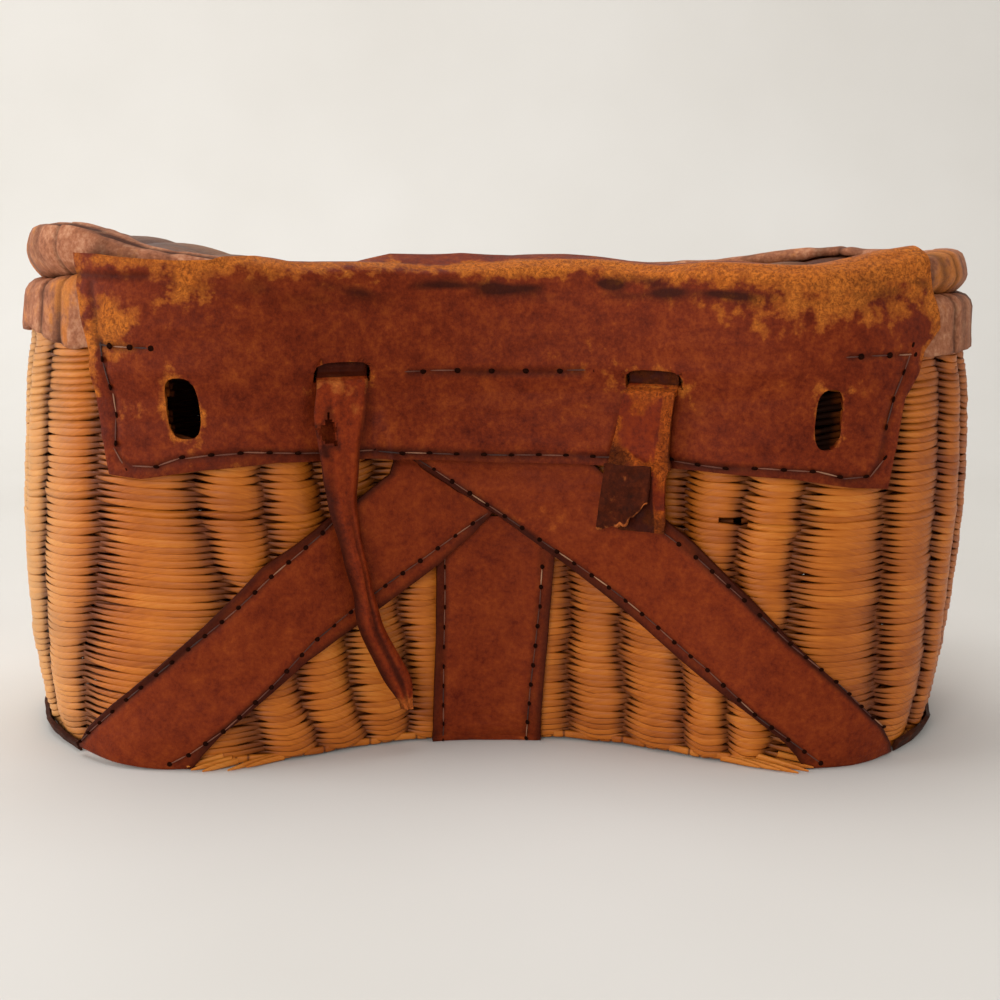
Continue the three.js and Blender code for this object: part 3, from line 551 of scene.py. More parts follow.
# %% The two strands of each row
outer_lift = RIB * np.interp(np.interp(climbed, fine_run, fine_z) / RIM, wall_height, wall_relief) - 0.5
inner_lift = -4.4
middle, reach = (outer_lift + inner_lift) / 2, (outer_lift - inner_lift) / 2
hand = np.tanh(3 * np.sin(math.pi * signed / HALF))
start_high, end_high = 0.8 + hand, 0.8 - hand
wedge = np.interp(np.abs(signed), [0, 150, 175, 250, 270, 448], [1, 1, 0.8, 0.6, 0.3, 0.3])
float_tone = np.random.default_rng(31).random((2 * ROWS, PITCHES))
float_size = np.random.default_rng(32).normal(0, 0.05, (2 * ROWS, PITCHES))
left_oval, right_oval = (-109, 127, 5.6, 11), (114.5, 122.5, 5, 11)
gloom_oval, stake_oval = (114.5, 122.5, 6.5, 12.5), (-109, 127, 6, 11)
snapped_start, snapped_stop, snapped_height = 80, 86.5, 87.5


def in_oval(signed, z, oval):
    s, height, wide, tall = oval
    return ((signed - s) / wide) ** 2 + ((z - height) / tall) ** 2 < 1


strand_points, strand_keep, strand_hollow, strand_swell = [], [], [], []
for side in (0, 1):
    turn = (turns + side) % 2
    front = turn < 1
    place_in = turn % 1
    swing = np.sin(math.pi * turn)
    bulge = np.sign(swing) * np.abs(swing) ** 0.8
    lift = middle + reach * bulge + 0.12 * soft_noise(ROWS, turns.size, 0.5, 6, 40 + side)
    first, last = fade(place_in, 0.5, 0) ** 1.7, fade(place_in, 0.5, 1) ** 1.7
    behind = end_high + (start_high - end_high) * place_in
    slide = np.where(front, start_high * first + end_high * last, behind)
    slide = slide + 0.3 * soft_noise(ROWS, turns.size, 0.4, 3, 45 + side) * (1 - np.abs(swing))
    out, z = on_wall(along, lift, climbed + slide)
    strand_points.append(place(along, out, z))
    outer = lift > middle
    snapped = (signed > snapped_start) & (signed < snapped_stop) & (np.abs(z - snapped_height) < 1.2)
    gone = in_oval(signed, z, left_oval) | (in_oval(signed, z, right_oval) & outer) | (snapped & outer)
    strand_keep.append(~gone)
    # The hollow value darkens a strand where it dives: part dirt, part painted shade.
    narrow = np.interp(signed, [-185, -110, 40, 120], [0.5, 0.75, 0.8, 0.95])
    # Inner strands behind the right hole get a hollow past one, which paints them near black as the shade
    # inside the basket.
    gloom = in_oval(signed, z, gloom_oval) & ~outer
    strand_hollow.append(np.where(front, 1 - np.abs(swing) ** narrow, 1) + gloom)
    opening = np.interp(place_in, [0, 0.12, 0.3, 0.5, 0.72, 1], [0.6, 0.5, 0.2, 0, 0.08, 0.4])
    strand_swell.append(np.where(front, 1.02 - wedge * opening, 0.74 - 0.22 * (1 - np.abs(swing))))
stake_number = np.floor(turns).astype(int)
strand_points, strand_keep = np.concatenate(strand_points), np.concatenate(strand_keep)
strand_hollow = np.concatenate(strand_hollow)
strand_swell = np.concatenate(strand_swell) * (1 + float_size[:, stake_number])
tones = float_tone[:, stake_number] * 0.22
print("strand points", strand_points.shape)

# %% Sweeping the wall in three bands
row_of = np.tile(np.arange(ROWS), 2)
wall_pieces = []
for number, (low, high) in enumerate(((0, 22), (22, 44), (44, ROWS))):
    pick = (row_of >= low) & (row_of < high)
    wall_pieces.append(
        strands(
            f"wall_rows_{number + 1}",
            strand_points[pick],
            strand_keep[pick],
            True,
            {"tone": tones[pick], "hollow": strand_hollow[pick], "swell": strand_swell[pick]},
            depth=0.38,
            height=1.72,
            sides=5,
            finish=willow_wall,
        )
    )

# %% [markdown]
# Along the foot the stakes' ends are turned in under a last skein, which they notch every 4 mm. It is a
# flat strand of the same tree, thinned at each notch and darkened there with painted shade.

# %% Foot border
border_along = np.arange(0, 2 * HALF, 0.7)[None]
notch_gap = 4.2
notch = bell(border_along % notch_gap, notch_gap / 2, 0.5) * (np.sin(border_along * 0.37) > -0.6)
border_tone = 0.15 + 0.15 * np.sin(border_along / 9)
border_out, border_z = on_wall(border_along, -0.25 - 0.25 * notch, 2.2 + 0.25 * np.sin(border_along / 3.1))
border = strands(
    "foot_border",
    place(border_along, border_out, border_z),
    np.ones(notch.shape, bool),
    True,
    # The hollow value at each notch darkens it with painted shade.
    {"tone": border_tone, "hollow": 0.15 + 0.85 * notch, "swell": 1 - 0.1 * notch},
    depth=0.6,
    height=1.5,
    sides=5,
    finish=willow_wall,
)

# %% [markdown]
# At the two corners of the back some border skeins have sprung out and point at the floor. Each is its
# start along the back and height there, its end and height there, and how far its end stands off.

# %% Sprung skeins
sprung = [(96, 3.4, 114, 0.7, 7), (99, 2.2, 117, 0.7, 4), (94, 1.4, 110, 0.7, 8), (104, 4.6, 119, 1.4, 3)]
sprung += [(86, 1.6, 104, 0.7, 5), (82, 1.2, 97, 0.7, 3.5), (-84, 1.4, -99, 0.7, 6)]
sprung += [(-79, 1.2, -93, 0.7, 4.5), (-98, 2.6, -111, 0.7, 5), (-96, 1.5, -107, 0.7, 6)]
sprung += [(-101, 3.8, -113, 1.0, 3)]
skein_steps = 9
share = np.linspace(0, 1, skein_steps)
skeins = []
for start, height, stop, low, away in sprung:
    skein_along = start + (stop - start) * share
    skein_out, _ = on_wall(skein_along, 0, 2)
    skeins.append(place(skein_along, skein_out + away * share**1.6, height + 0.4 + (low - height) * share))
skein_piece = strands(
    "sprung_skeins",
    np.array(skeins),
    np.ones((len(sprung), skein_steps), bool),
    False,
    {"tone": 0.3, "hollow": 0.1, "swell": (1 - 0.75 * share**3)[None]},
    depth=0.45,
    height=1.25,
    sides=6,
    finish=willow_wall,
)

# %% [markdown]
# The stakes are the rods that the rows are twined round. They show in the gaps and through the holes.

# %% Stakes
stake_steps = np.linspace(1.5, 158, 44)
stake_rows = np.clip(np.round((stake_steps - FLOOR_GAP) / 2.35).astype(int), 0, ROWS - 1)
stake_ends = row_places[stake_rows].T
stake_along = (stake_ends[:-1] + stake_ends[1:]) / 2
stake_out, stake_z = on_wall(stake_along, -1.85, stake_steps[None])
stakes = strands(
    "stakes",
    place(stake_along, stake_out, stake_z),
    ~in_oval(from_back(stake_along), stake_z, stake_oval),
    False,
    # A middling hollow value darkens the stakes: part dirt, part painted shade in the gaps.
    {"tone": np.linspace(0, 0.4, PITCHES)[:, None], "hollow": 0.45, "swell": 1.0},
    depth=1.5,
    height=1.5,
    sides=6,
    finish=willow_wall,
)

# %% [markdown]
# ## Lid and base
# The lid and the base are flat, so their rows run straight from end to end over sticks that lie across.
# The kidney cuts each row to length. No one sees the lid in the photograph, so its weave follows the
# wall's.


# %% Flat weaving
def flat_weave(name, surface, shade, finish, inset, spacing, samples, depth, seed):
    ring = np.linspace(0, 2 * HALF, 721)[:-1]
    shore = place(ring, -inset, RIM)[:, :2]
    rows = np.arange(shore[:, 1].min() + spacing / 2, shore[:, 1].max(), spacing)
    turn = np.arange(0, 18, 1 / samples)
    x = -190 + 21.2 * turn
    points, keeps, hollows = [], [], []
    for number, y in enumerate(rows):
        crossing = (shore[:, 1] > y) != (np.roll(shore[:, 1], -1) > y)
        ends = shore[crossing, 0]
        inside = (x[:, None] > ends[None]).sum(1) % 2 == 1
        for side in (1, -1):
            wave = side * np.sin(math.pi * turn)
            row_y = y + side * 0.3 * spacing * np.cos(math.pi * turn)
            points.append(np.stack([x, row_y, surface(x, row_y) + 1.0 * wave], -1))
            keeps.append(inside)
            hollows.append(np.clip(0.45 - 0.6 * wave + shade(x, row_y), 0, 1))
    tone = 0.42 * np.random.default_rng(seed).random((len(points), 19))[:, np.floor(turn).astype(int)]
    marks = {"tone": tone, "hollow": np.array(hollows), "swell": 1.0}
    return strands(name, np.array(points), np.array(keeps), False, marks, depth, 0.62, 5, finish)


def lid_dome(x, y):
    return np.clip(1 - (x / 150) ** 2 - ((y - 6) / 75) ** 2, 0, 1)


def lid_top(x, y):
    return roll_z(x, y) - 1.15 * LEATHER - GAP - 2.3 + 2.6 * lid_dome(x, y)


# Painted shade: the lid's strands darken towards its edge under the roll and lighten in its middle.
def lid_shade(x, y):
    return 0.8 * (1 - 2.5 * lid_dome(x, y))


def base_top(x, y):
    return 2.4 + 0 * x


def base_shade(x, y):
    return 0


lid_weave = flat_weave(
    "lid_weave", lid_top, lid_shade, lid_willow_painted_shade, inset=12.5, spacing=2.7, samples=6, depth=1.2, seed=51
)
base_weave = flat_weave(
    "base_weave", base_top, base_shade, willow_wall, inset=9, spacing=3.4, samples=4, depth=1.55, seed=52
)
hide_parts("lid")
for part in [*wall_pieces, border, skein_piece, stakes, base_weave]:
    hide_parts("basket")


# %% [markdown]
# ## Old bridle leather
# The flap, bands and straps are vegetable-tanned cowhide, dyed red-brown. Handling has polished the dye
# off the folds and corners down to bright orange, dirt has darkened the sewn edges, and dry spots have
# crazed. On top of that, painted light lifts a few places towards the orange, and painted shade darkens
# creases, crevices and the leather under overhangs along with the dirt. Two values on the points say
# where, and noises break their borders up: blotches of 30 mm, a mottle of 6 mm, flecks of 1.6 mm, flakes 1
# mm apart and a grain of 0.7 mm. Over the dyed skin lie three coats: the rubbed orange with its painted
# light, the cracks in it, and the dirt with its painted shade.

# %% Leather finish
def leather(name, dark, mid, light, worn, bright, crackle, gloss):
    material, tree, look, spot = finish_named(name)
    marks = [put(tree, "ShaderNodeAttribute", attribute_name=mark) for mark in ("wear_and_light", "grime_and_shade")]
    wear_and_light, grime_and_shade = [mark.outputs["Fac"] for mark in marks]
    noises = []
    for scale, detail, rough in ((33, 4, 0.6), (170, 5, 0.65), (1400, 3, 0.6), (620, 3, 0.7), (95, 6, 0.7)):
        noise = {"Vector": spot, "Scale": scale, "Detail": detail, "Roughness": rough}
        noises.append(put(tree, "ShaderNodeTexNoise", noise))
    blotch, mottle, grain, fleck, patch = noises
    shade = mottle.outputs["Fac"]
    for noise, share in ((blotch, 0.45), (fleck, 0.8)):
        added = {"Value": noise.outputs["Fac"], "Value_001": share, "Value_002": shade}
        shade = put(tree, "ShaderNodeMath", added, operation="MULTIPLY_ADD").outputs[0]
    level = put(tree, "ShaderNodeMapRange", {"Value": shade, "From Min": 0.76, "From Max": 1.48})
    ramp = put(tree, "ShaderNodeValToRGB", {"Fac": level.outputs["Result"]})
    ramp.color_ramp.elements[0].color = linear(dark)
    ramp.color_ramp.elements[1].color = linear(light)
    ramp.color_ramp.elements.new(0.5).color = linear(mid)
    # The rubbed orange also carries the painted light set on the points.
    broken = {"Value": mottle.outputs["Fac"], "Value_001": 1.5, "Value_002": wear_and_light}
    broken = put(tree, "ShaderNodeMath", broken, operation="MULTIPLY_ADD")
    rubbed_and_lit = {"Value": broken.outputs[0], "From Min": 1.02, "From Max": 1.42, "To Max": 0.95}
    rubbed_and_lit = put(tree, "ShaderNodeMapRange", rubbed_and_lit, interpolation_type="SMOOTHSTEP")
    orange = {"Factor_Float": patch.outputs["Fac"], "A_Color": linear(worn), "B_Color": linear(bright)}
    orange = put(tree, "ShaderNodeMix", orange, data_type="RGBA")
    warped = {"Factor_Float": 0.006, "A_Vector": spot, "B_Vector": mottle.outputs["Color"]}
    warped = put(tree, "ShaderNodeMix", warped, data_type="VECTOR")
    flakes = {"Vector": warped.outputs[1], "Scale": 900.0, "Detail": 6.0, "Roughness": 0.85}
    flakes = put(tree, "ShaderNodeTexNoise", flakes)
    crack = {"Value": flakes.outputs["Fac"], "From Min": 0.45, "From Max": 0.57}
    crack = put(tree, "ShaderNodeMapRange", crack)
    dry = {"Value": rubbed_and_lit.outputs[0], "Value_001": crackle}
    dry = put(tree, "ShaderNodeMath", dry, operation="MULTIPLY")
    cracked = {"Value": crack.outputs[0], "Value_001": dry.outputs[0]}
    cracked = put(tree, "ShaderNodeMath", cracked, operation="MULTIPLY")
    # The dirt coat also carries the painted shade set on the points.
    smear = {"Value": blotch.outputs["Fac"], "Value_001": 0.8, "Value_002": grime_and_shade}
    smear = put(tree, "ShaderNodeMath", smear, operation="MULTIPLY_ADD")
    dirt_and_shade = {"Value": smear.outputs[0], "From Min": 0.5, "From Max": 1.3, "To Max": 0.85}
    dirt_and_shade = put(tree, "ShaderNodeMapRange", dirt_and_shade)
    skin = ramp.outputs["Color"]
    for cover, coat in (
        (rubbed_and_lit, orange.outputs[2]),
        (cracked, linear("#451407")),
        (dirt_and_shade, linear("#260a04")),
    ):
        layer = {"Factor_Float": cover.outputs[0], "A_Color": skin, "B_Color": coat}
        skin = put(tree, "ShaderNodeMix", layer, data_type="RGBA").outputs[2]
    relief = {"Value": cracked.outputs[0], "Value_001": -1.2, "Value_002": grain.outputs["Fac"]}
    relief = put(tree, "ShaderNodeMath", relief, operation="MULTIPLY_ADD")
    bump = put(tree, "ShaderNodeBump", {"Height": relief.outputs[0], "Strength": 0.5, "Distance": 0.0004})
    rough = {"Value": mottle.outputs["Fac"], "To Min": gloss - 0.12, "To Max": gloss + 0.2}
    rough = put(tree, "ShaderNodeMapRange", rough)
    look.inputs["Specular IOR Level"].default_value = 0.07
    tree.links.new(skin, look.inputs["Base Color"])
    tree.links.new(bump.outputs["Normal"], look.inputs["Normal"])
    tree.links.new(rough.outputs["Result"], look.inputs["Roughness"])
    return material


flap_leather = leather(
    "worn_bridle_leather", "#481205", "#6c250c", "#8b3c14", "#bb5a16", "#da8230", crackle=0.75, gloss=0.5
)
band_leather = leather(
    "red_brown_band_leather", "#561808", "#742a0e", "#8a3a14", "#9a4417", "#aa5520", crackle=0.2, gloss=0.52
)
left_strap_leather = leather(
    "cracked_strap_leather", "#43120a", "#7c2b0e", "#953d15", "#a84a16", "#c97434", crackle=0.5, gloss=0.46
)
right_strap_leather = leather(
    "rubbed_strap_leather", "#421206", "#73250b", "#8b340d", "#a94610", "#c9661f", crackle=0.85, gloss=0.5
)
torn_leather = leather(
    "torn_flesh_side_leather", "#240c05", "#411708", "#5b240e", "#a0461a", "#c8763a", crackle=0.3, gloss=0.75
)
binding_leather = leather(
    "browned_binding_leather", "#683822", "#9e6345", "#c89472", "#b8622a", "#d28a44", crackle=0.3, gloss=0.55
)
foot_leather = leather(
    "dark_foot_leather", "#24100a", "#3b1b0f", "#552c18", "#5c3019", "#6d3d22", crackle=0.3, gloss=0.6
)
print("leather finishes ready")


# %% [markdown]
# ## Leather sheets
# A cut piece of leather is a grid that follows what lies under it, with a thickness and a slightly
# rounded edge. Solidify gives the thickness and Bevel the edge. Where a seam pulls the leather down, a
# shallow groove follows the line of the stitches.

# %% Leather sheet helper
def seam_distance(along, z, seam):
    best = np.full(np.shape(along), 1e9)
    for (a, b), (c, d) in zip(seam[:-1], seam[1:]):
        size = (c - a) ** 2 + (d - b) ** 2
        t = np.clip(((along - a) * (c - a) + (z - b) * (d - b)) / size, 0, 1)
        best = np.minimum(best, np.hypot(along - a - t * (c - a), z - b - t * (d - b)))
    return best


sheet_surfaces = {}


def leather_sheet(name, points, thickness, finish, marks, keep=None, turn=False):
    rows, columns = points.shape[:2]
    faces = grid_faces(rows, columns, keep, turn=turn)
    used, faces = np.unique(faces, return_inverse=True)
    faces = faces.reshape(-1, 4)
    flat = points.reshape(-1, 3)[used]
    marks = on_points(marks, (rows, columns), used)
    sheet = piece_from(name, flat, faces.tolist(), marks=marks, material=finish)
    sheet_surfaces[name] = BVHTree.FromPolygons([Vector(p * 0.001) for p in flat], faces.tolist())
    solid = sheet.modifiers.new("thickness", "SOLIDIFY")
    solid.thickness = thickness * 0.001
    solid.offset = -1
    round_edge = sheet.modifiers.new("rounded edge", "BEVEL")
    round_edge.width = 0.00035
    round_edge.segments = 2
    round_edge.limit_method = "ANGLE"
    round_edge.angle_limit = math.radians(55)
    return plain(sheet, name)


print("sheet helper ready")

# %% [markdown]
# ## The hinge flap
# One broad panel is sewn to the lid, bends over the lid's roll and hangs down the back, where its lower
# edge is sewn to the wall. Its section is a path that starts at the foot, climbs over the bands, strap
# ends and rim and turns in over the roll, 13 mm at most. The path is sampled closely and smoothed, which
# rounds its bends.

# %% Flap tables
side_height = [0.6111, 0.6481, 0.7963, 0.8951, 0.9383, 1.0185, 1.1111]
side_left = [-0.2944, -0.2989, -0.3078, -0.31, -0.3145, -0.3223, -0.3301]
side_right = [0.3011, 0.3033, 0.3145, 0.3279, 0.3435, 0.339, 0.3368]
foot_share = [0, 0.04, 0.11, 0.2, 0.36, 0.5, 0.76, 0.88, 0.95, 1]
foot_height = [0.642, 0.6358, 0.6543, 0.6667, 0.6605, 0.6481, 0.6481, 0.6358, 0.6173, 0.6111]
over_share = [0, 0.06, 0.12, 0.16, 0.2, 0.26, 0.3, 0.75, 0.95, 1]
over_reach = [-0.6, -0.5, -0.25, -0.05, 0.3, 0.8, 1, 1, 0.7, 0.4]
ROOM = LEATHER + 2 * GAP
ROLL_BEND, TURN_IN = 10, 13


def flap_path(along, share):
    x, y = outline(along)[:2]
    rim, roll = float(rim_z(x, y)), float(roll_z(x, y))
    foot = RIM * np.interp(share, foot_share, foot_height)
    beside = abs(along / HALF - 0.004) - 0.1
    over_bands = 2.5 * (BAND + GAP) * fade(beside, 0.012, 0)
    path = [
        (crest(foot) + 2 * GAP + over_bands, foot),
        (crest(foot + 0.045 * RIM) + 2 * GAP + 0.9 * over_bands, foot + 0.045 * RIM),
        (crest(foot + 0.11 * RIM) + 2 * GAP + 0.12 * over_bands, foot + 0.11 * RIM),
        (rim_face + 0.29 * ROOM, 0.8 * RIM),
        (rim_face + 0.62 * ROOM, 0.827 * RIM),
        (rim_face + 1.03 * ROOM, 0.855 * RIM),
        (rim_face + 1.03 * ROOM, 0.92 * RIM),
        (rim_face + 0.8 * ROOM, rim - 1.5 * LEATHER),
        (rim_face + 0.45 * ROOM, rim + 1.5 * LEATHER),
        (rim_face + 1.3 * GAP, roll - 1.7 * LEATHER),
        (binding_face + 1.3 * GAP, roll - 0.9 * LEATHER),
        (binding_face - 1.5 * LEATHER, roll + 0.7 * GAP),
        (binding_face - 3.4 * LEATHER, roll + 1.5 * GAP),
        (-28.8, roll + 1.5 * GAP),
    ]
    path = np.array(path)
    run = run_along(path)
    return path, run, run[ROLL_BEND] + TURN_IN * np.interp(share, over_share, over_reach)


# %% [markdown]
# The seam down both sides and along the foot, two short runs at its ends and one in the middle were read
# off the photograph: each pair is a place along the back and a height in millimetres.

# %% Flap seams and holes
flap_seam = [(-135, 147), (-133, 139), (-131.6, 128), (-131, 116), (-130, 109.5), (-126, 107.3)]
flap_seam += [(-118, 107.2), (-112, 109.5), (-104, 110.8), (-88, 111.9), (-68, 110.6), (-48, 110.2)]
flap_seam += [(-19, 108.4), (0, 107.8), (28, 108), (60, 108), (78, 106.4), (94, 106.5), (111, 105.6)]
flap_seam += [(120, 103.2), (127.5, 103.6)]
flap_seam += [(131, 106.5), (132.3, 111), (133.8, 119), (136, 129), (139, 139), (140.4, 143)]
flap_runs = {
    "flap_seam": (flap_seam, 9.3),
    "left_run": ([(-134.5, 147.2), (-128.9, 146.8), (-120.3, 146.5)], 6.5),
    "right_run": ([(119.2, 143.6), (128.8, 143.9), (140, 143.9)], 7.5),
    "middle_run": ([(-32.8, 137), (-21, 137.2), (0, 137), (19, 137.1), (30, 137.5)], 10.2),
}
columns, rows = 250, 118
shares = np.linspace(0, 1, columns)
left_mid, right_mid = [np.interp(1.06, side_height, side) for side in (side_left, side_right)]
flap_out, flap_z = np.zeros((2, rows, columns))
kernel = np.hanning(17) / np.hanning(17).sum()
for c, share in enumerate(shares):
    path, run, end = flap_path(HALF * (left_mid * (1 - share) + right_mid * share), share)
    at = np.linspace(-6, run[-1], 600)
    stops = np.linspace(0, end, rows)
    for grid, line in ((flap_out, path[:, 0]), (flap_z, path[:, 1])):
        line = np.interp(at, run, line) + np.where(at < 0, at, 0) * (grid is flap_z)
        grid[:, c] = np.interp(stops, at, np.convolve(np.pad(line, 8, "edge"), kernel, "valid"))
rise = np.gradient(flap_z, axis=0)
lean = np.gradient(flap_out, axis=0)
size = np.hypot(rise, lean)
left_edge = HALF * np.interp(flap_z / RIM, side_height, side_left)
right_edge = HALF * np.interp(flap_z / RIM, side_height, side_right)
flap_along = left_edge + (right_edge - left_edge) * shares[None]
print("flap grid", flap_along.shape, "from", flap_z.min().round(1), "to", flap_z.max().round(1), "mm high")

# %% [markdown]
# The flap's relief is the dents of handling, humps over the lid's roll, a groove along each seam, a
# crevice between lid and rim, and two creases at the left corner. The orange is rubbed along the fold and
# in a few patches, and painted light lifts its left part a little. Dirt darkens the seams, the colour
# darkens along the foot, and painted shade darkens the creases, the crevice and a mottled band under the
# fold.

# %% Flap relief
def flap_noise(row_reach, column_reach, seed):
    return soft_noise(rows, columns, row_reach, column_reach, seed)


near_seam = np.minimum.reduce([seam_distance(flap_along, flap_z, line) for line, _ in flap_runs.values()])
creases = [[(-145, 169.8), (-134, 169.3), (-119, 169.4)], [(-138.9, 167), (-137, 158.6), (-135, 148)]]
near_crease = np.minimum(*[seam_distance(flap_along, flap_z, line) for line in creases])
flap_x, flap_y = outline(flap_along)[:2]
fold = flap_z - roll_z(flap_x, flap_y)
waves = 0.45 * flap_noise(14, 16, 61) + 0.16 * flap_noise(3, 4, 62)
humps = 0.8 * flap_noise(30, 9, 63) * fade(fold, -9, -2)
heave = np.interp(flap_along, [-46, -35, -12, 4, 40, 55], [0, 3, 3.2, 0.9, 0.5, 0])
humps = humps + heave * fade(flap_out, binding_face - 5, binding_face - 12)
groove = bell(near_seam, 0, 1.1)
crevice = bell(flap_z - rim_z(flap_x, flap_y), 1, 3.2)
lift = waves + humps - 0.55 * groove - 0.6 * crevice * (0.6 + 0.4 * flap_noise(9, 12, 64))
outwards = LEATHER + lift - 0.6 * bell(near_crease, 0, 1.3)
top_out = flap_out + outwards * rise / size
top_z = flap_z - outwards * lean / size

# %% Flap wear and grime
patches = [
    (0.62, 118, 45, 165, 15),
    (0.7, -132, 7, 153, 10),
    (0.525, -106, 9, 169, 8),
    (0.35, -130, 20, 175, 4),
]
wear_and_light = 0.06 * flap_noise(8, 9, 66)
rubbed_top = 0.95 * np.clip(1 - np.abs(fold + 0.5) / 6.5, 0, 1) * np.clip((flap_out + 9) / 6, 0.25, 1)
wear_and_light = wear_and_light + rubbed_top * (0.75 + 0.2 * flap_noise(10, 12, 65))
for strength, s, wide, height, tall in patches:
    wear_and_light = wear_and_light + strength * bell(flap_along, s, wide) * bell(flap_z, height, tall)
side_gap = np.minimum(shares, 1 - shares)[None] * 280
# The broad lift at the flap's left is painted light; the strip along the upper side edges is wear.
wear_and_light = wear_and_light + 0.12 * bell(flap_along, -118, 26) + 0.4 * bell(side_gap, 0, 3) * (flap_z > 130)
# Dirt in the seams, the colour darker along the foot, and painted shade in the crevice between lid and rim.
grime_and_shade = 0.6 * bell(near_seam, 0, 1.6) + 0.35 * bell(flap_z, flap_z[:1], 3) + 0.1 * crevice
# Painted shade in the two creases.
grime_and_shade = grime_and_shade + 0.5 * bell(near_crease, 0, 1.5)
# Painted shade: a mottled dark band under the fold, strongest in the middle.
middle_part = np.interp(flap_along, [-75, -30, 60, 105], [0.25, 1, 1, 0.5])
under_fold_shade = np.clip(0.6 * flap_noise(2, 3, 67) + 0.4 * flap_noise(5, 12, 68) + 0.7, 0, 2)
grime_and_shade = grime_and_shade + middle_part * under_fold_shade * bell(fold, -7.2, 3.0)

# %% [markdown]
# A hole in a grid is made by leaving out the cells inside it and sliding the points of its border onto
# the hole's edge. The ovals are rounded, and their tips lean. The slots are flat, and their lower corners
# droop where the strap pulled. Each line is place, height, half the width and height, lean, squareness
# and droop.

# %% Cutting and making the flap
inside = np.zeros((rows, columns), bool)
cut_along, cut_z = flap_along, top_z
holes = [
    (-108.7, 126.8, 5.2, 10.4, -1.0, 3, 0),
    (113.6, 123.0, 4.3, 10.4, 0.6, 3, 0),
    (-57.2, 138.0, 10.4, 2.9, 0, 6, 2.0),
    (56.5, 135.7, 10.6, 2.7, 0, 6, 1.8),
]
for s, z, wide, tall, tip, power, droop in holes:
    dz = flap_z - z
    ds = flap_along - s - tip * dz / tall
    dz = dz + droop * (ds / wide) ** 4 * (np.abs(ds) < wide * 1.3)
    reach_in = (np.abs(ds / wide) ** power + np.abs(dz / tall) ** power) ** (1 / power)
    hit = reach_in < 1
    inside |= hit
    push = 1 / np.maximum(reach_in, 0.2)
    cut_along = np.where(hit, s + tip * dz / tall + ds * push, cut_along)
    cut_z = np.where(hit, top_z + dz * (push - 1), cut_z)
    wear_and_light = wear_and_light + 0.35 * np.clip(1 - (reach_in - 1) * min(wide, tall) / 3.5, 0, 1)
flap = leather_sheet(
    "flap",
    place(cut_along, top_out, cut_z),
    LEATHER,
    flap_leather,
    {"wear_and_light": wear_and_light, "grime_and_shade": grime_and_shade},
    keep=~inside,
)
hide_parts("hinge_flap")

# %% [markdown]
# ## The bands
# Three flat bands are sewn to the wall: one upright in the middle, then the left diagonal over it, then
# the right one over both. Each row of a table is the left and the right edge, read off the photograph as
# a share of the half outline and of the rim's height, and how many leathers lie under it. The leather is
# thin enough to show the stakes below as soft ribs.

# %% Band tables
band_rows = {
    "band_right": [
        (-0.0803, 0.679, 0.0625, 0.679, 1.1), (-0.0625, 0.6389, 0.0825, 0.6358, 1.3),
        (-0.0335, 0.5864, 0.0981, 0.6111, 2.15), (0, 0.5309, 0.1115, 0.5926, 2.15),
        (0.0424, 0.4506, 0.1294, 0.5586, 1.7), (0.0825, 0.3704, 0.1606, 0.4938, 0.6),
        (0.1227, 0.2901, 0.194, 0.4012, 0.1), (0.1628, 0.2099, 0.2364, 0.284, 0.1),
        (0.207, 0.1235, 0.283, 0.1728, 0.15), (0.235, 0.0679, 0.317, 0.0926, 0.25),
        (0.256, 0.0185, 0.344, 0.0247, 0.3),
    ],
    "band_left": [
        (-0.0981, 0.679, 0.0134, 0.679, 0.08), (-0.0848, 0.6543, 0.0134, 0.6111, 0.2),
        (-0.0892, 0.6265, 0, 0.5494, 1), (-0.1115, 0.5864, -0.0201, 0.4938, 1.08),
        (-0.1383, 0.5432, -0.0491, 0.4259, 1.08), (-0.165, 0.4938, -0.0803, 0.3642, 0.5),
        (-0.1918, 0.4444, -0.1182, 0.2963, 0.22), (-0.232, 0.3272, -0.1584, 0.2346, 0.22),
        (-0.2676, 0.2284, -0.1963, 0.1481, 0.25), (-0.3056, 0.142, -0.2253, 0.0802, 0.45),
        (-0.3479, 0.037, -0.2498, 0.0185, 0.6),
    ],
    "band_centre": [
        (-0.0446, 0.53, 0.0446, 0.52, 0.04), (-0.0502, 0.4506, 0.0457, 0.4506, 0.04),
        (-0.0513, 0.2716, 0.0401, 0.2716, 0.04), (-0.0535, 0.075, 0.0346, 0.075, 0.1),
        (-0.0535, 0.031, 0.0335, 0.031, 0.15), (-0.0535, 0.018, 0.0335, 0.018, 0.15),
    ],
}
upper_right = [(41, 100), (52.5, 91), (60.4, 84), (74.4, 74), (89, 61), (106, 45), (123, 31.3), (136, 19.5)]
upper_right += [(150, 9)]
lower_right = [(-27, 104.6), (-6.7, 91.6), (14, 78.5), (38, 63), (57, 50), (76.4, 36), (96, 19), (112, 7.8)]
lower_right += [(116.6, 4.6)]
lower_left = [(-6.6, 85), (-26.6, 72), (-48, 58), (-69, 44.5), (-84, 29.5), (-99, 15.5), (-110.6, 6.9)]
lower_left += [(-115.8, 4)]
upper_left = [(-41, 105.2), (-67.5, 81.7), (-83.6, 68.3), (-99.5, 53.3), (-122, 33.4), (-141, 16.7)]
upper_left += [(-152, 7.5)]
band_seams = {
    "band_right": [upper_right, lower_right],
    "band_left": [upper_left, lower_left],
    "band_centre": [
        [(-19.8, 78), (-19.8, 55), (-20.3, 36), (-20.5, 17), (-20.3, 4)],
        [(16.4, 78), (15, 55), (13.1, 36), (11.3, 20), (10, 4)],
    ],
}


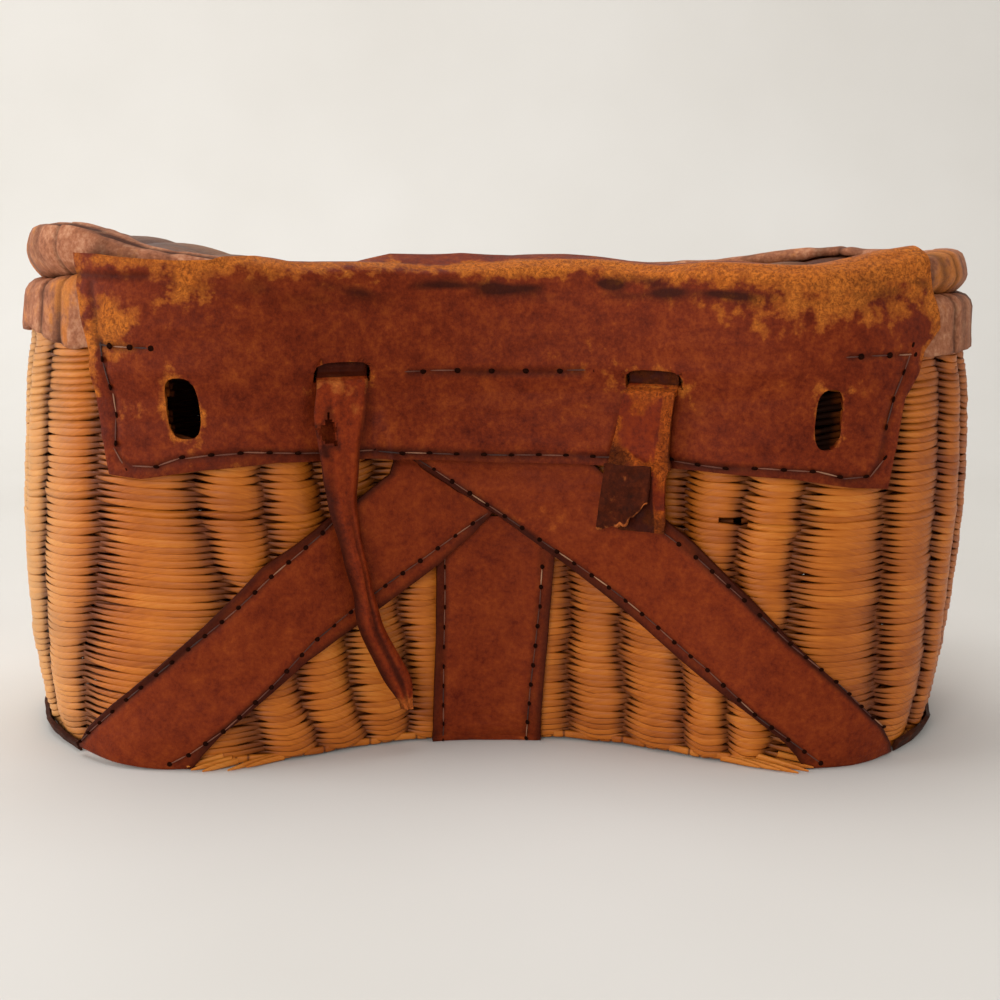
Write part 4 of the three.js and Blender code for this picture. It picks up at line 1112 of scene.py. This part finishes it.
def off_wall(along, z, lift, step=0.6):
    low = np.maximum(0, z - step)
    rise = z + step - low
    lean = crest(z + step) - crest(low)
    size = np.hypot(rise, lean)
    return place(along, crest(z) + lift * rise / size, z - lift * lean / size)


def rib_bulge(along):
    places = swap_places([60])[0]
    start = np.mod(np.asarray(along) - places[0], 2 * HALF) + places[0]
    return np.abs(np.sin(math.pi * np.interp(start, places, np.arange(PITCHES + 1))))


# %% Making the bands
bands = {}
steps, across = 150, 34
for number, (name, table) in enumerate(band_rows.items()):
    table = np.array(table)
    at = np.linspace(0, len(table) - 1, steps)
    s0, h0, s1, h1, layer = [np.interp(at, np.arange(len(table)), row)[:, None] for row in table.T]
    t = np.linspace(0, 1, across)[None]
    along_band = HALF * (s0 + (s1 - s0) * t)
    z_band = RIM * (h0 + (h1 - h0) * t)
    z_band = z_band - 2.9 * fade(z_band, 12, 0)
    seam = np.minimum(*[seam_distance(along_band, z_band, line) for line in band_seams[name]])
    ribs = 0.28 * (rib_bulge(along_band) - 1) * np.clip(1 - 0.4 * layer, 0.1, 1)
    dents = 0.16 * soft_noise(steps, across, 7, 5, 70 + number)
    dents = dents + 0.06 * soft_noise(steps, across, 2, 2, 75 + number)
    lift = GAP + (BAND + GAP) * layer + BAND + ribs + dents - 0.4 * bell(seam, 0, 0.9)
    rim_gap = np.minimum(t, 1 - t) * np.hypot(HALF * (s1 - s0), RIM * (h1 - h0))
    # The colour darkens along both edges of the band and along its seams.
    darker_edges_and_seams = 0.85 * bell(rim_gap, 0, 2.4) + 0.5 * bell(seam, 0, 1.5)
    rubbing = 0.08 * soft_noise(steps, across, 12, 8, 80 + number)
    surface = off_wall(along_band, z_band, lift)
    marks = {"wear_and_light": rubbing, "grime_and_shade": darker_edges_and_seams}
    bands[name] = leather_sheet(name, surface, BAND, band_leather, marks, turn=True)
    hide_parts(name)

# %% [markdown]
# ## The foot binding
# A thin dark strip covers the bottom corner of the wall from one diagonal band round the front to the
# other.

# %% Foot binding
foot_rows = np.linspace(0.004, 0.03, 9)[:, None] * RIM
foot_along = np.linspace(0.352, 1.6443, 520)[None] * HALF
foot_noise = soft_noise(foot_rows.size, foot_along.size, 3, 3, 90)
foot_z = foot_rows + 0.4 * foot_noise * (foot_rows > 4)
foot_lift = 2.2 * GAP + BAND + 0.16 * foot_noise + 0.25 * (rib_bulge(foot_along) - 1)
foot = leather_sheet(
    "foot_binding_strip",
    off_wall(foot_along, foot_z, foot_lift),
    BAND,
    foot_leather,
    {"wear_and_light": 0.1 + 0.1 * foot_noise, "grime_and_shade": 0.2},
)
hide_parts("foot_binding")

# %% [markdown]
# ## The torn straps
# Two straps once closed round the angler's waist belt. Both have torn off short. The left one has shrunk
# and curled into a gutter. The right one is cracked across and curls outwards at its end. Each row of a
# table is the height as a share of the rim's, the place along the back as a share of the half outline,
# the width as a share of the strap's, how many leathers it stands off and how deep its gutter is.

# %% Strap tables
strap_rows = {
    "strap_left": [
        (0.91, -0.126, 0.97, 0.5, 0), (0.866, -0.126, 0.97, 0.5, 0), (0.85, -0.126, 0.98, 0.48, 0),
        (0.84, -0.1275, 1, 0.9, 0), (0.832, -0.129, 1.02, 1.8, 0), (0.815, -0.1295, 1.03, 2.14, 0.01),
        (0.7616, -0.1325, 1.03, 2.2, 0.01), (0.6952, -0.1347, 0.83, 2.5, 0.05),
        (0.6049, -0.1335, 0.66, 2.3, 0.1), (0.5685, -0.1328, 0.61, 2.2, 0.14),
        (0.4575, -0.1233, 0.46, 2.1, 0.2), (0.38, -0.116, 0.46, 2, 0.22), (0.297, -0.1098, 0.5, 1.9, 0.2),
        (0.1747, -0.0866, 0.6, 1.8, 0.16), (0.0988, -0.077, 0.16, 1.75, 0.04),
    ],
    "strap_right": [
        (0.89, 0.1249, 0.98, 0.4, 0), (0.85, 0.1249, 0.98, 0.4, 0), (0.826, 0.1249, 0.98, 0.4, 0),
        (0.816, 0.1252, 1, 0.8, 0), (0.81, 0.1252, 1.02, 1.85, 0), (0.795, 0.1246, 1.06, 2.25, 0.01),
        (0.7531, 0.1221, 1.1, 2.35, 0.01), (0.6975, 0.1195, 1.16, 2.7, 0.02),
        (0.6567, 0.1195, 1.3, 3.2, 0.03), (0.6296, 0.1165, 1.25, 2.9, 0.05),
        (0.5802, 0.1175, 1.2, 2.7, 0.05), (0.537, 0.1204, 1.1, 2.6, 0.05), (0.5131, 0.122, 1.0, 2.6, 0.04),
    ],
}
STRAP = 18.4


def strap_grid(table, steps, across, finer=6):
    table = np.array(table)
    at = np.linspace(0, len(table) - 1, finer * steps)
    soft = np.hanning(2 * (steps // len(table)) * 3 + 1)
    lines = []
    for row in table.T:
        line = np.interp(at, np.arange(len(table)), row)
        line = np.pad(line, len(soft) // 2, "reflect", reflect_type="odd")
        lines.append(np.convolve(line, soft / soft.sum(), "valid")[::finer, None])
    height, along, wide, room, curl = lines
    t = np.linspace(0, 1, across)[None]
    bulge = STRAP * curl * 4 * t * (1 - t)
    return HALF * along + STRAP * wide * (t - 0.5), rim_face + ROOM * room + bulge, RIM * height, t


print("strap grid", strap_grid(strap_rows["strap_left"], 150, 22)[0].shape)

# %% Making the straps
straps = {}
steps, across = 170, 24


def strap_noise(row_reach, column_reach, seed):
    return soft_noise(steps, across, row_reach, column_reach, seed)


for name, finish, seed, slot_edge in (
    ("strap_left", left_strap_leather, 101, 135.8),
    ("strap_right", right_strap_leather, 105, 133.2),
):
    along_strap, out_strap, z_strap, t = strap_grid(strap_rows[name], steps, across)
    torn = 0.5 * strap_noise(3, 30, seed) * fade(z_strap, 130, 0)
    wrinkles = strap_noise(22, 1.3, seed + 2)
    out_strap = out_strap + 0.2 * strap_noise(4, 5, seed + 1) + 0.22 * wrinkles + 0.5 * LEATHER
    along_strap = along_strap + torn * np.where(t < 0.5, 1.2, -0.6)
    keep = None
    patchy = strap_noise(8, 4, seed + 3)
    rubbed_edge = 0.4 * bell(np.minimum(t, 1 - t) * STRAP, 0, 1.4) * (patchy > -0.3)
    if name == "strap_left":
        ragged = 0.25 * strap_noise(1.5, 1.5, seed + 4)
        tear = np.hypot((along_strap + 64.5) / 3.0, (z_strap - 117.5) / 6.3) + ragged
        keep = tear > 1
        tip = bell(z_strap, 17, 5)
        low = fade(z_strap, 118, 96)
        # Lighter above and darker towards the bottom.
        wear_and_light = (rubbed_edge + 0.25) * (1 - low) + 0.14 * patchy + 0.9 * tip - 0.1 * low
        # Dark round the tear, and a painted shadow down the left edge of the lower part, where the curled
        # strap stands off the wall.
        grime_and_shade = 0.7 * bell(tear, 1, 0.35) + 0.22 * low + 0.9 * low * fade(t, 0.35, 0)
        # Painted shade in the wrinkle hollows; the tip is lighter.
        grime_and_shade = grime_and_shade - 0.5 * tip + 0.3 * np.clip(-wrinkles, 0, 2)
    else:
        crease = bell(z_strap - 1.5 * np.sin(6 * t), 107.5, 1.6)
        out_strap = out_strap - 0.9 * crease
        high = fade(z_strap, 122, 130)
        wear_and_light = 0.24 + 0.34 * high + rubbed_edge + 0.2 * patchy + 0.5 * crease + 0.3 * (t > 0.8)
        # Below the crease the strap lies under its folded end and takes painted shade there.
        grime_and_shade = 0.2 + 0.3 * np.clip(patchy, 0, 2) * (1 - high) + (z_strap < 103) * (t < 0.8)
    # Painted shade: the strap is near black above the slot's edge, where it rises behind the flap.
    grime_and_shade = grime_and_shade + 3.0 * fade(z_strap, slot_edge, slot_edge + 0.8)
    surface = place(along_strap, out_strap, z_strap)
    marks = {"wear_and_light": wear_and_light, "grime_and_shade": grime_and_shade}
    straps[name] = leather_sheet(name, surface, 0.85 * LEATHER, finish, marks, keep=keep, turn=True)
    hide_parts(name)


# %% [markdown]
# The right strap's end is folded over, and the fold shows its dark, ragged flesh side. It is a smaller
# sheet that leaves the strap at the crease and stands off it at the bottom.

# %% The folded end
fold_rows, fold_columns = 60, 44
down = np.linspace(0, 1, fold_rows)[:, None]
across = np.linspace(0, 1, fold_columns)[None]
fold_left = np.interp(down, [0, 0.5, 1], [41.0, 39.3, 37.4])
fold_right = np.interp(down, [0, 0.5, 1], [59.6, 58.8, 58.6])
fold_bottom = np.interp(across, [0, 0.1, 0.3, 0.55, 0.8, 1], [82.8, 82.4, 84.6, 86.0, 89.5, 93.0])
fold_bottom = fold_bottom + 0.5 * soft_noise(2, fold_columns, 1, 1.5, 117)[:1]
fold_along = fold_left + (fold_right - fold_left) * across
fold_crease = 106.3
fold_z = fold_crease + (fold_bottom - fold_crease) * down
fold_dents = 0.3 * soft_noise(fold_rows, fold_columns, 4, 4, 118)
fold_out = rim_face + ROOM * (3.55 + 0.25 * np.sin(3 * down)) + 1.6 + fold_dents
fold_out = fold_out - 1.8 * (1 - across) ** 2 * down
fold_wear = 0.13 * soft_noise(fold_rows, fold_columns, 2, 2, 119) + 0.4 * (down > 0.96)
folded = leather_sheet(
    "strap_right_fold",
    place(fold_along, fold_out, fold_z),
    1.2,
    torn_leather,
    {"wear_and_light": fold_wear, "grime_and_shade": 0.1 - 0.1 * down},
    turn=True,
)
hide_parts("strap_right")


# %% [markdown]
# ## The bindings
# The rim and the lid's edge are wrapped in soft leather that has dried dusty brown. Their section is a
# closed loop that is carried round the whole kidney. The loop's corners are rounded by smoothing it, the
# leather draws in between the stakes, and wrinkles run across it where it was pulled tight round the
# ends. With age the lid's has split along its top at the left, and its right end is rubbed.

# %% Binding helper
def rounded(section, count, softness, dense=160):
    at_count = np.arange(count) * dense / count
    result = np.zeros((section.shape[0], count, 2))
    waves = np.fft.rfftfreq(dense)
    for n, loop in enumerate(section):
        closed = np.concatenate([loop, loop[:1]])
        run = run_along(closed)
        at = np.linspace(0, run[-1], dense, endpoint=False)
        blur = np.exp(-2 * (math.pi * waves * softness * dense / run[-1]) ** 2)
        for k in (0, 1):
            line = np.fft.irfft(np.fft.rfft(np.interp(at, run, closed[:, k])) * blur, dense)
            result[n, :, k] = np.interp(at_count, np.arange(dense + 1), [*line, line[0]])
    return result


STATIONS, AROUND = 760, 34
ring = np.linspace(-HALF, HALF, STATIONS, endpoint=False)
ring_x, ring_y = outline(ring)[:2]
ring_rim = rim_z(ring_x, ring_y)
ring_roll = roll_z(ring_x, ring_y)
drop_change = np.interp(ring, [-230, -200, -186, -166, -150, -130], [0, -2, -3.5, 1.5, 4, 0])
ring_drop = 20 * edge(ring_x, rim_drop) + drop_change
pinch = rib_bulge(ring)


def binding(name, section, lump, seed, softness, creases, age=0.0):
    section = [np.stack(np.broadcast_arrays(out, z, ring)[:2], -1) for out, z in section]
    loop = rounded(np.stack(section, 1), AROUND, softness)
    out, z = loop[..., 0], loop[..., 1]
    d_out = np.roll(out, -1, 1) - np.roll(out, 1, 1)
    d_z = np.roll(z, -1, 1) - np.roll(z, 1, 1)
    size = np.maximum(np.hypot(d_out, d_z), 1e-6)
    wrinkle = soft_noise(STATIONS, AROUND, 2.2, 7, seed)
    swelling = soft_noise(STATIONS, AROUND, 9, 9, seed + 1)
    gathers = sum(bell(ring, crease, 1.6) for crease in creases)[:, None]
    puff = lump * (pinch[:, None] - 0.6) + 0.36 * swelling + 0.16 * wrinkle - 0.6 * gathers
    out = out + puff * d_z / size
    z = z - puff * d_out / size
    split_run = age * fade(ring, -176, -168) * fade(ring, -92, -104)
    fissure = split_run[:, None] * bell(out, binding_face - 4.2, 0.9) * (z > ring_rim[:, None] + 8)
    points = place(ring[:, None], out, z - 1.4 * fissure)
    upright_rub = np.clip(d_z / size, 0, 1) * (soft_noise(STATIONS, AROUND, 14, 14, seed + 2) > 0.6)
    wear_and_light = 0.6 * age * bell(ring, 170, 17)[:, None] + 0.2 * swelling + 0.3 * upright_rub
    # Painted shade in the wrinkle hollows, between the stakes, in the gathers and down the split.
    grime_and_shade = 0.28 * np.clip(-wrinkle, 0, 2) + 0.12 * (1 - pinch[:, None]) + 0.6 * gathers + 1.6 * fissure
    faces = grid_faces(STATIONS, AROUND, ring=True)
    first = np.arange(AROUND)
    last = first + (STATIONS - 1) * AROUND
    seam = np.stack([last, np.roll(last, -1), np.roll(first, -1), first], -1)
    faces = np.concatenate([faces, seam]).tolist()
    thing = piece_from(name, points, faces, marks={"wear_and_light": wear_and_light, "grime_and_shade": grime_and_shade}, material=binding_leather)
    print(name, len(thing.data.polygons), "faces")
    return thing


# %% Rim binding
leg_low = ring_rim - ring_drop
hug = np.maximum(crest(leg_low), top_crest) + GAP
hug_high = np.maximum(crest(ring_rim - 0.7 * ring_drop), top_crest) + GAP
inner = wall_stand[-1] * RIM - 3.7 - GAP
rim_section = [
    (hug + 1.2 * LEATHER, leg_low),
    (hug_high + 1.25 * LEATHER, ring_rim - 0.7 * ring_drop),
    (binding_face + 0.3, ring_rim - 0.4 * ring_drop),
    (binding_face + 0.4, ring_rim - 2 * LEATHER),
    (binding_face - 0.25 * LEATHER, ring_rim - 0.9 * LEATHER),
    (binding_face - 1.1 * LEATHER, ring_rim - 0.15 * LEATHER),
    (binding_face - 2.1 * LEATHER, ring_rim + 0.2),
    (inner, ring_rim),
    (inner - LEATHER, ring_rim - 1.2 * LEATHER),
    (inner - LEATHER, ring_rim - 17),
    (inner, ring_rim - 17),
    (inner, ring_rim - 1.15 * LEATHER),
    (top_crest + GAP, ring_rim - 1.15 * LEATHER),
    (hug, leg_low),
]
rim_creases = (-172, -158, 171, 240, -260)
rim_wrap = binding("rim_wrap", rim_section, lump=0.4, seed=120, softness=0.6, creases=rim_creases)
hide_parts("rim_binding")

# %% Lid binding
base_line = ring_rim - 0.3
tall = ring_roll - base_line
lid_crest = ring_roll - 3.8 * bell(ring, -126, 19)
lid_section = [
    (binding_face - 3.2 * LEATHER, base_line + 0.05 * LEATHER),
    (binding_face - 1.9 * LEATHER, base_line + 0.13 * tall),
    (binding_face - 0.6 * LEATHER, base_line + 0.3 * tall),
    (binding_face + 0.1 * LEATHER, base_line + 0.48 * tall),
    (binding_face, base_line + 0.66 * tall),
    (binding_face - 0.75 * LEATHER, lid_crest - 0.5 * LEATHER),
    (binding_face - 1.9 * LEATHER, lid_crest - 0.05 * LEATHER),
    (binding_face - 3.4 * LEATHER, lid_crest + 0.1),
    (-12.5, lid_crest - 0.3),
    (-14.4, lid_crest - 1.0 * LEATHER),
    (-13.6, lid_crest - 2.0 * LEATHER),
    (binding_face - 3.4 * LEATHER, lid_crest - 1.9 * LEATHER),
    (binding_face - 1.9 * LEATHER, base_line + 0.5 * tall),
    (binding_face - 3.6 * LEATHER, base_line + 1.3 * LEATHER),
    (-14.0, base_line + 1.1 * LEATHER),
    (-14.4, base_line + 0.1 * LEATHER),
]
lid_creases = (-163, 178, 290, -330)
lid_roll = binding("lid_roll", lid_section, lump=0.25, seed=130, softness=0.8, creases=lid_creases, age=1.0)
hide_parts("lid_binding")

# %% [markdown]
# ## Stitches
# The leather is sewn with waxed thread through punched holes. A tree of Geometry Nodes walks along a seam
# and sets a stitch and a hole at each step: the stitch a thin spindle along the seam, the hole a dimple
# half a step further on, painted near black as the shade inside the hole. Some stitches have worn away,
# which a fixed seed decides.

# %% Thread and hole finishes
thread, thread_tree, thread_look, thread_spot = finish_named("waxed_linen_thread")
chance = put(thread_tree, "ShaderNodeAttribute", attribute_name="pick")
thread_ramp = put(thread_tree, "ShaderNodeValToRGB", {"Fac": chance.outputs["Fac"]})
thread_ramp.color_ramp.elements[0].color = linear("#2e130b")
thread_ramp.color_ramp.elements[1].color = linear("#b88a66")
thread_ramp.color_ramp.elements.new(0.62).color = linear("#5c2c1a")
thread_ramp.color_ramp.elements.new(0.9).color = linear("#774630")
twist = put(thread_tree, "ShaderNodeTexNoise", {"Vector": thread_spot, "Scale": 2500.0, "Detail": 1.0})
thread_bump = put(thread_tree, "ShaderNodeBump", {"Height": twist.outputs["Fac"], "Distance": 0.0003})
thread_tree.links.new(thread_ramp.outputs["Color"], thread_look.inputs["Base Color"])
thread_tree.links.new(thread_bump.outputs["Normal"], thread_look.inputs["Normal"])
thread_look.inputs["Roughness"].default_value = 0.75
# The hole is painted near black as the shade inside it.
hole_shade, hole_tree, hole_look, hole_spot = finish_named("punched_hole_painted_shade")
hole_shade_mottle = put(hole_tree, "ShaderNodeTexNoise", {"Vector": hole_spot, "Scale": 900.0})
hole_mix = {"Factor_Float": hole_shade_mottle.outputs["Fac"]}
hole_mix.update({"A_Color": linear("#0c0504"), "B_Color": linear("#2a120b")})
hole_tint = put(hole_tree, "ShaderNodeMix", hole_mix, data_type="RGBA")
hole_tree.links.new(hole_tint.outputs[2], hole_look.inputs["Base Color"])
hole_look.inputs["Roughness"].default_value = 1.0
hole_look.inputs["Specular IOR Level"].default_value = 0.0

# %% The sewing tree
sewing_sizes = {
    "Pitch": "NodeSocketFloat",
    "Stitch": "NodeSocketFloat",
    "Thread": "NodeSocketFloat",
    "Hole": "NodeSocketFloat",
    "Kept": "NodeSocketFloat",
    "Seed": "NodeSocketInt",
    "Thread Finish": "NodeSocketMaterial",
    "Hole Finish": "NodeSocketMaterial",
}
sewing, asked = tree_with("sewing", sewing_sizes)
seam_line = put(sewing, "GeometryNodeMeshToCurve", {"Mesh": asked["Geometry"]})
steps_along = {"Curve": seam_line.outputs[0], "Length": asked["Pitch"]}
spots = put(sewing, "GeometryNodeCurveToPoints", steps_along, mode="LENGTH")
ball = put(sewing, "GeometryNodeMeshUVSphere", {"Segments": 8, "Rings": 6, "Radius": 1.0})
spindle = {"X": asked["Thread"], "Y": asked["Thread"], "Z": asked["Stitch"]}
spindle = put(sewing, "ShaderNodeCombineXYZ", spindle)
half_step = put(sewing, "ShaderNodeMath", {"Value": asked["Pitch"], "Value_001": 0.5}, operation="MULTIPLY")
shift = put(sewing, "ShaderNodeCombineXYZ", {"Z": half_step.outputs[0]})
flat = put(sewing, "ShaderNodeMath", {"Value": asked["Hole"], "Value_001": 0.4}, operation="MULTIPLY")
dimple = put(sewing, "ShaderNodeCombineXYZ", {"X": flat.outputs[0], "Y": asked["Hole"], "Z": asked["Hole"]})
forms = []
for change, finish in (
    ({"Scale": spindle.outputs[0]}, "Thread Finish"),
    ({"Scale": dimple.outputs[0], "Translation": shift.outputs[0]}, "Hole Finish"),
):
    form = put(sewing, "GeometryNodeTransform", {"Geometry": ball.outputs[0], **change})
    form_coat = {"Geometry": form.outputs[0], "Material": asked[finish]}
    forms.append(put(sewing, "GeometryNodeSetMaterial", form_coat).outputs[0])
chances = {"Probability": asked["Kept"], "Seed": asked["Seed"]}
left_over = put(sewing, "FunctionNodeRandomValue", chances, data_type="BOOLEAN")
tint = put(sewing, "FunctionNodeRandomValue", {"Seed": asked["Seed"]}, data_type="FLOAT")
at_spots = {"Points": spots.outputs["Points"], "Rotation": spots.outputs["Rotation"]}
thread_spots = {**at_spots, "Selection": left_over.outputs[3], "Instance": forms[0]}
sewn = put(sewing, "GeometryNodeInstanceOnPoints", thread_spots)
pick_mark = {"Geometry": sewn.outputs[0], "Name": "pick", "Value": tint.outputs[1]}
tinted = put(sewing, "GeometryNodeStoreNamedAttribute", pick_mark, domain="INSTANCE")
punched = put(sewing, "GeometryNodeInstanceOnPoints", {**at_spots, "Instance": forms[1]})
joined = put(sewing, "GeometryNodeJoinGeometry")
sewing.links.new(tinted.outputs[0], joined.inputs[0])
sewing.links.new(punched.outputs[0], joined.inputs[0])
sewn_real = put(sewing, "GeometryNodeRealizeInstances", {"Geometry": joined.outputs[0]})
put(sewing, "NodeGroupOutput", {"Geometry": sewn_real.outputs[0]})
print("sewing tree", len(sewing.nodes), "nodes")


# %% Sewing
def sew(name, surface, seam, pitch, seed, lift, thread_radius, hole_radius, kept=0.85, share=0.44):
    seam = np.array(seam, float)
    run = run_along(seam)
    at = np.arange(0, run[-1], 1.0)
    seam_along, seam_z = [np.interp(at, run, column) for column in seam.T]
    near, outer = place(seam_along, 0, seam_z), place(seam_along, lift, seam_z)
    points = []
    for low, high in zip(near * 0.001, outer * 0.001):
        aim = Vector(low - high).normalized()
        spot, normal, _, _ = sheet_surfaces[surface].ray_cast(Vector(high), aim)
        if spot is not None:
            points.append(tuple((spot - aim * 0.00012) * 1000))
    edges = [(i, i + 1) for i in range(len(points) - 1)]
    line = piece_from(name, points, edges=edges)
    values = {
        "Pitch": pitch * 0.001,
        "Stitch": pitch * share * 0.001,
        "Thread": thread_radius * 0.001,
        "Hole": hole_radius * 0.001,
        "Kept": kept,
        "Seed": seed,
        "Thread Finish": thread,
        "Hole Finish": hole_shade,
    }
    result = run_tree(line, sewing, name, values)
    result.data.shade_smooth()
    return result


stitches = []
for number, (name, (line, pitch)) in enumerate(flap_runs.items()):
    label, seed = f"stitches_{name}", 200 + number
    done = sew(label, "flap", line, pitch, seed, 14, thread_radius=0.27, hole_radius=1.1)
    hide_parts("hinge_flap")
    stitches.append(done)
for number, (name, lines) in enumerate(band_seams.items()):
    for part, line in enumerate(lines):
        label, seed = f"stitches_{name}_{part + 1}", 220 + 3 * number + part
        done = sew(label, name, line, 7.2, seed, 12, thread_radius=0.24, hole_radius=0.9)
        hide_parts(name)
        stitches.append(done)

# %% [markdown]
# ## Closing
# Everything rides on the one body, and the pieces and their triangles are counted.

# %% Ride and finish
made = [*wall_pieces, border, skein_piece, stakes, base_weave, lid_weave, flap, foot, rim_wrap, lid_roll]
made += [*stitches, *bands.values(), *straps.values(), folded]
for part in made:
    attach(part, "root")
total = sum(len(p.vertices) - 2 for part in made for p in part.data.polygons)
print("pieces", len(made), "triangles", total)
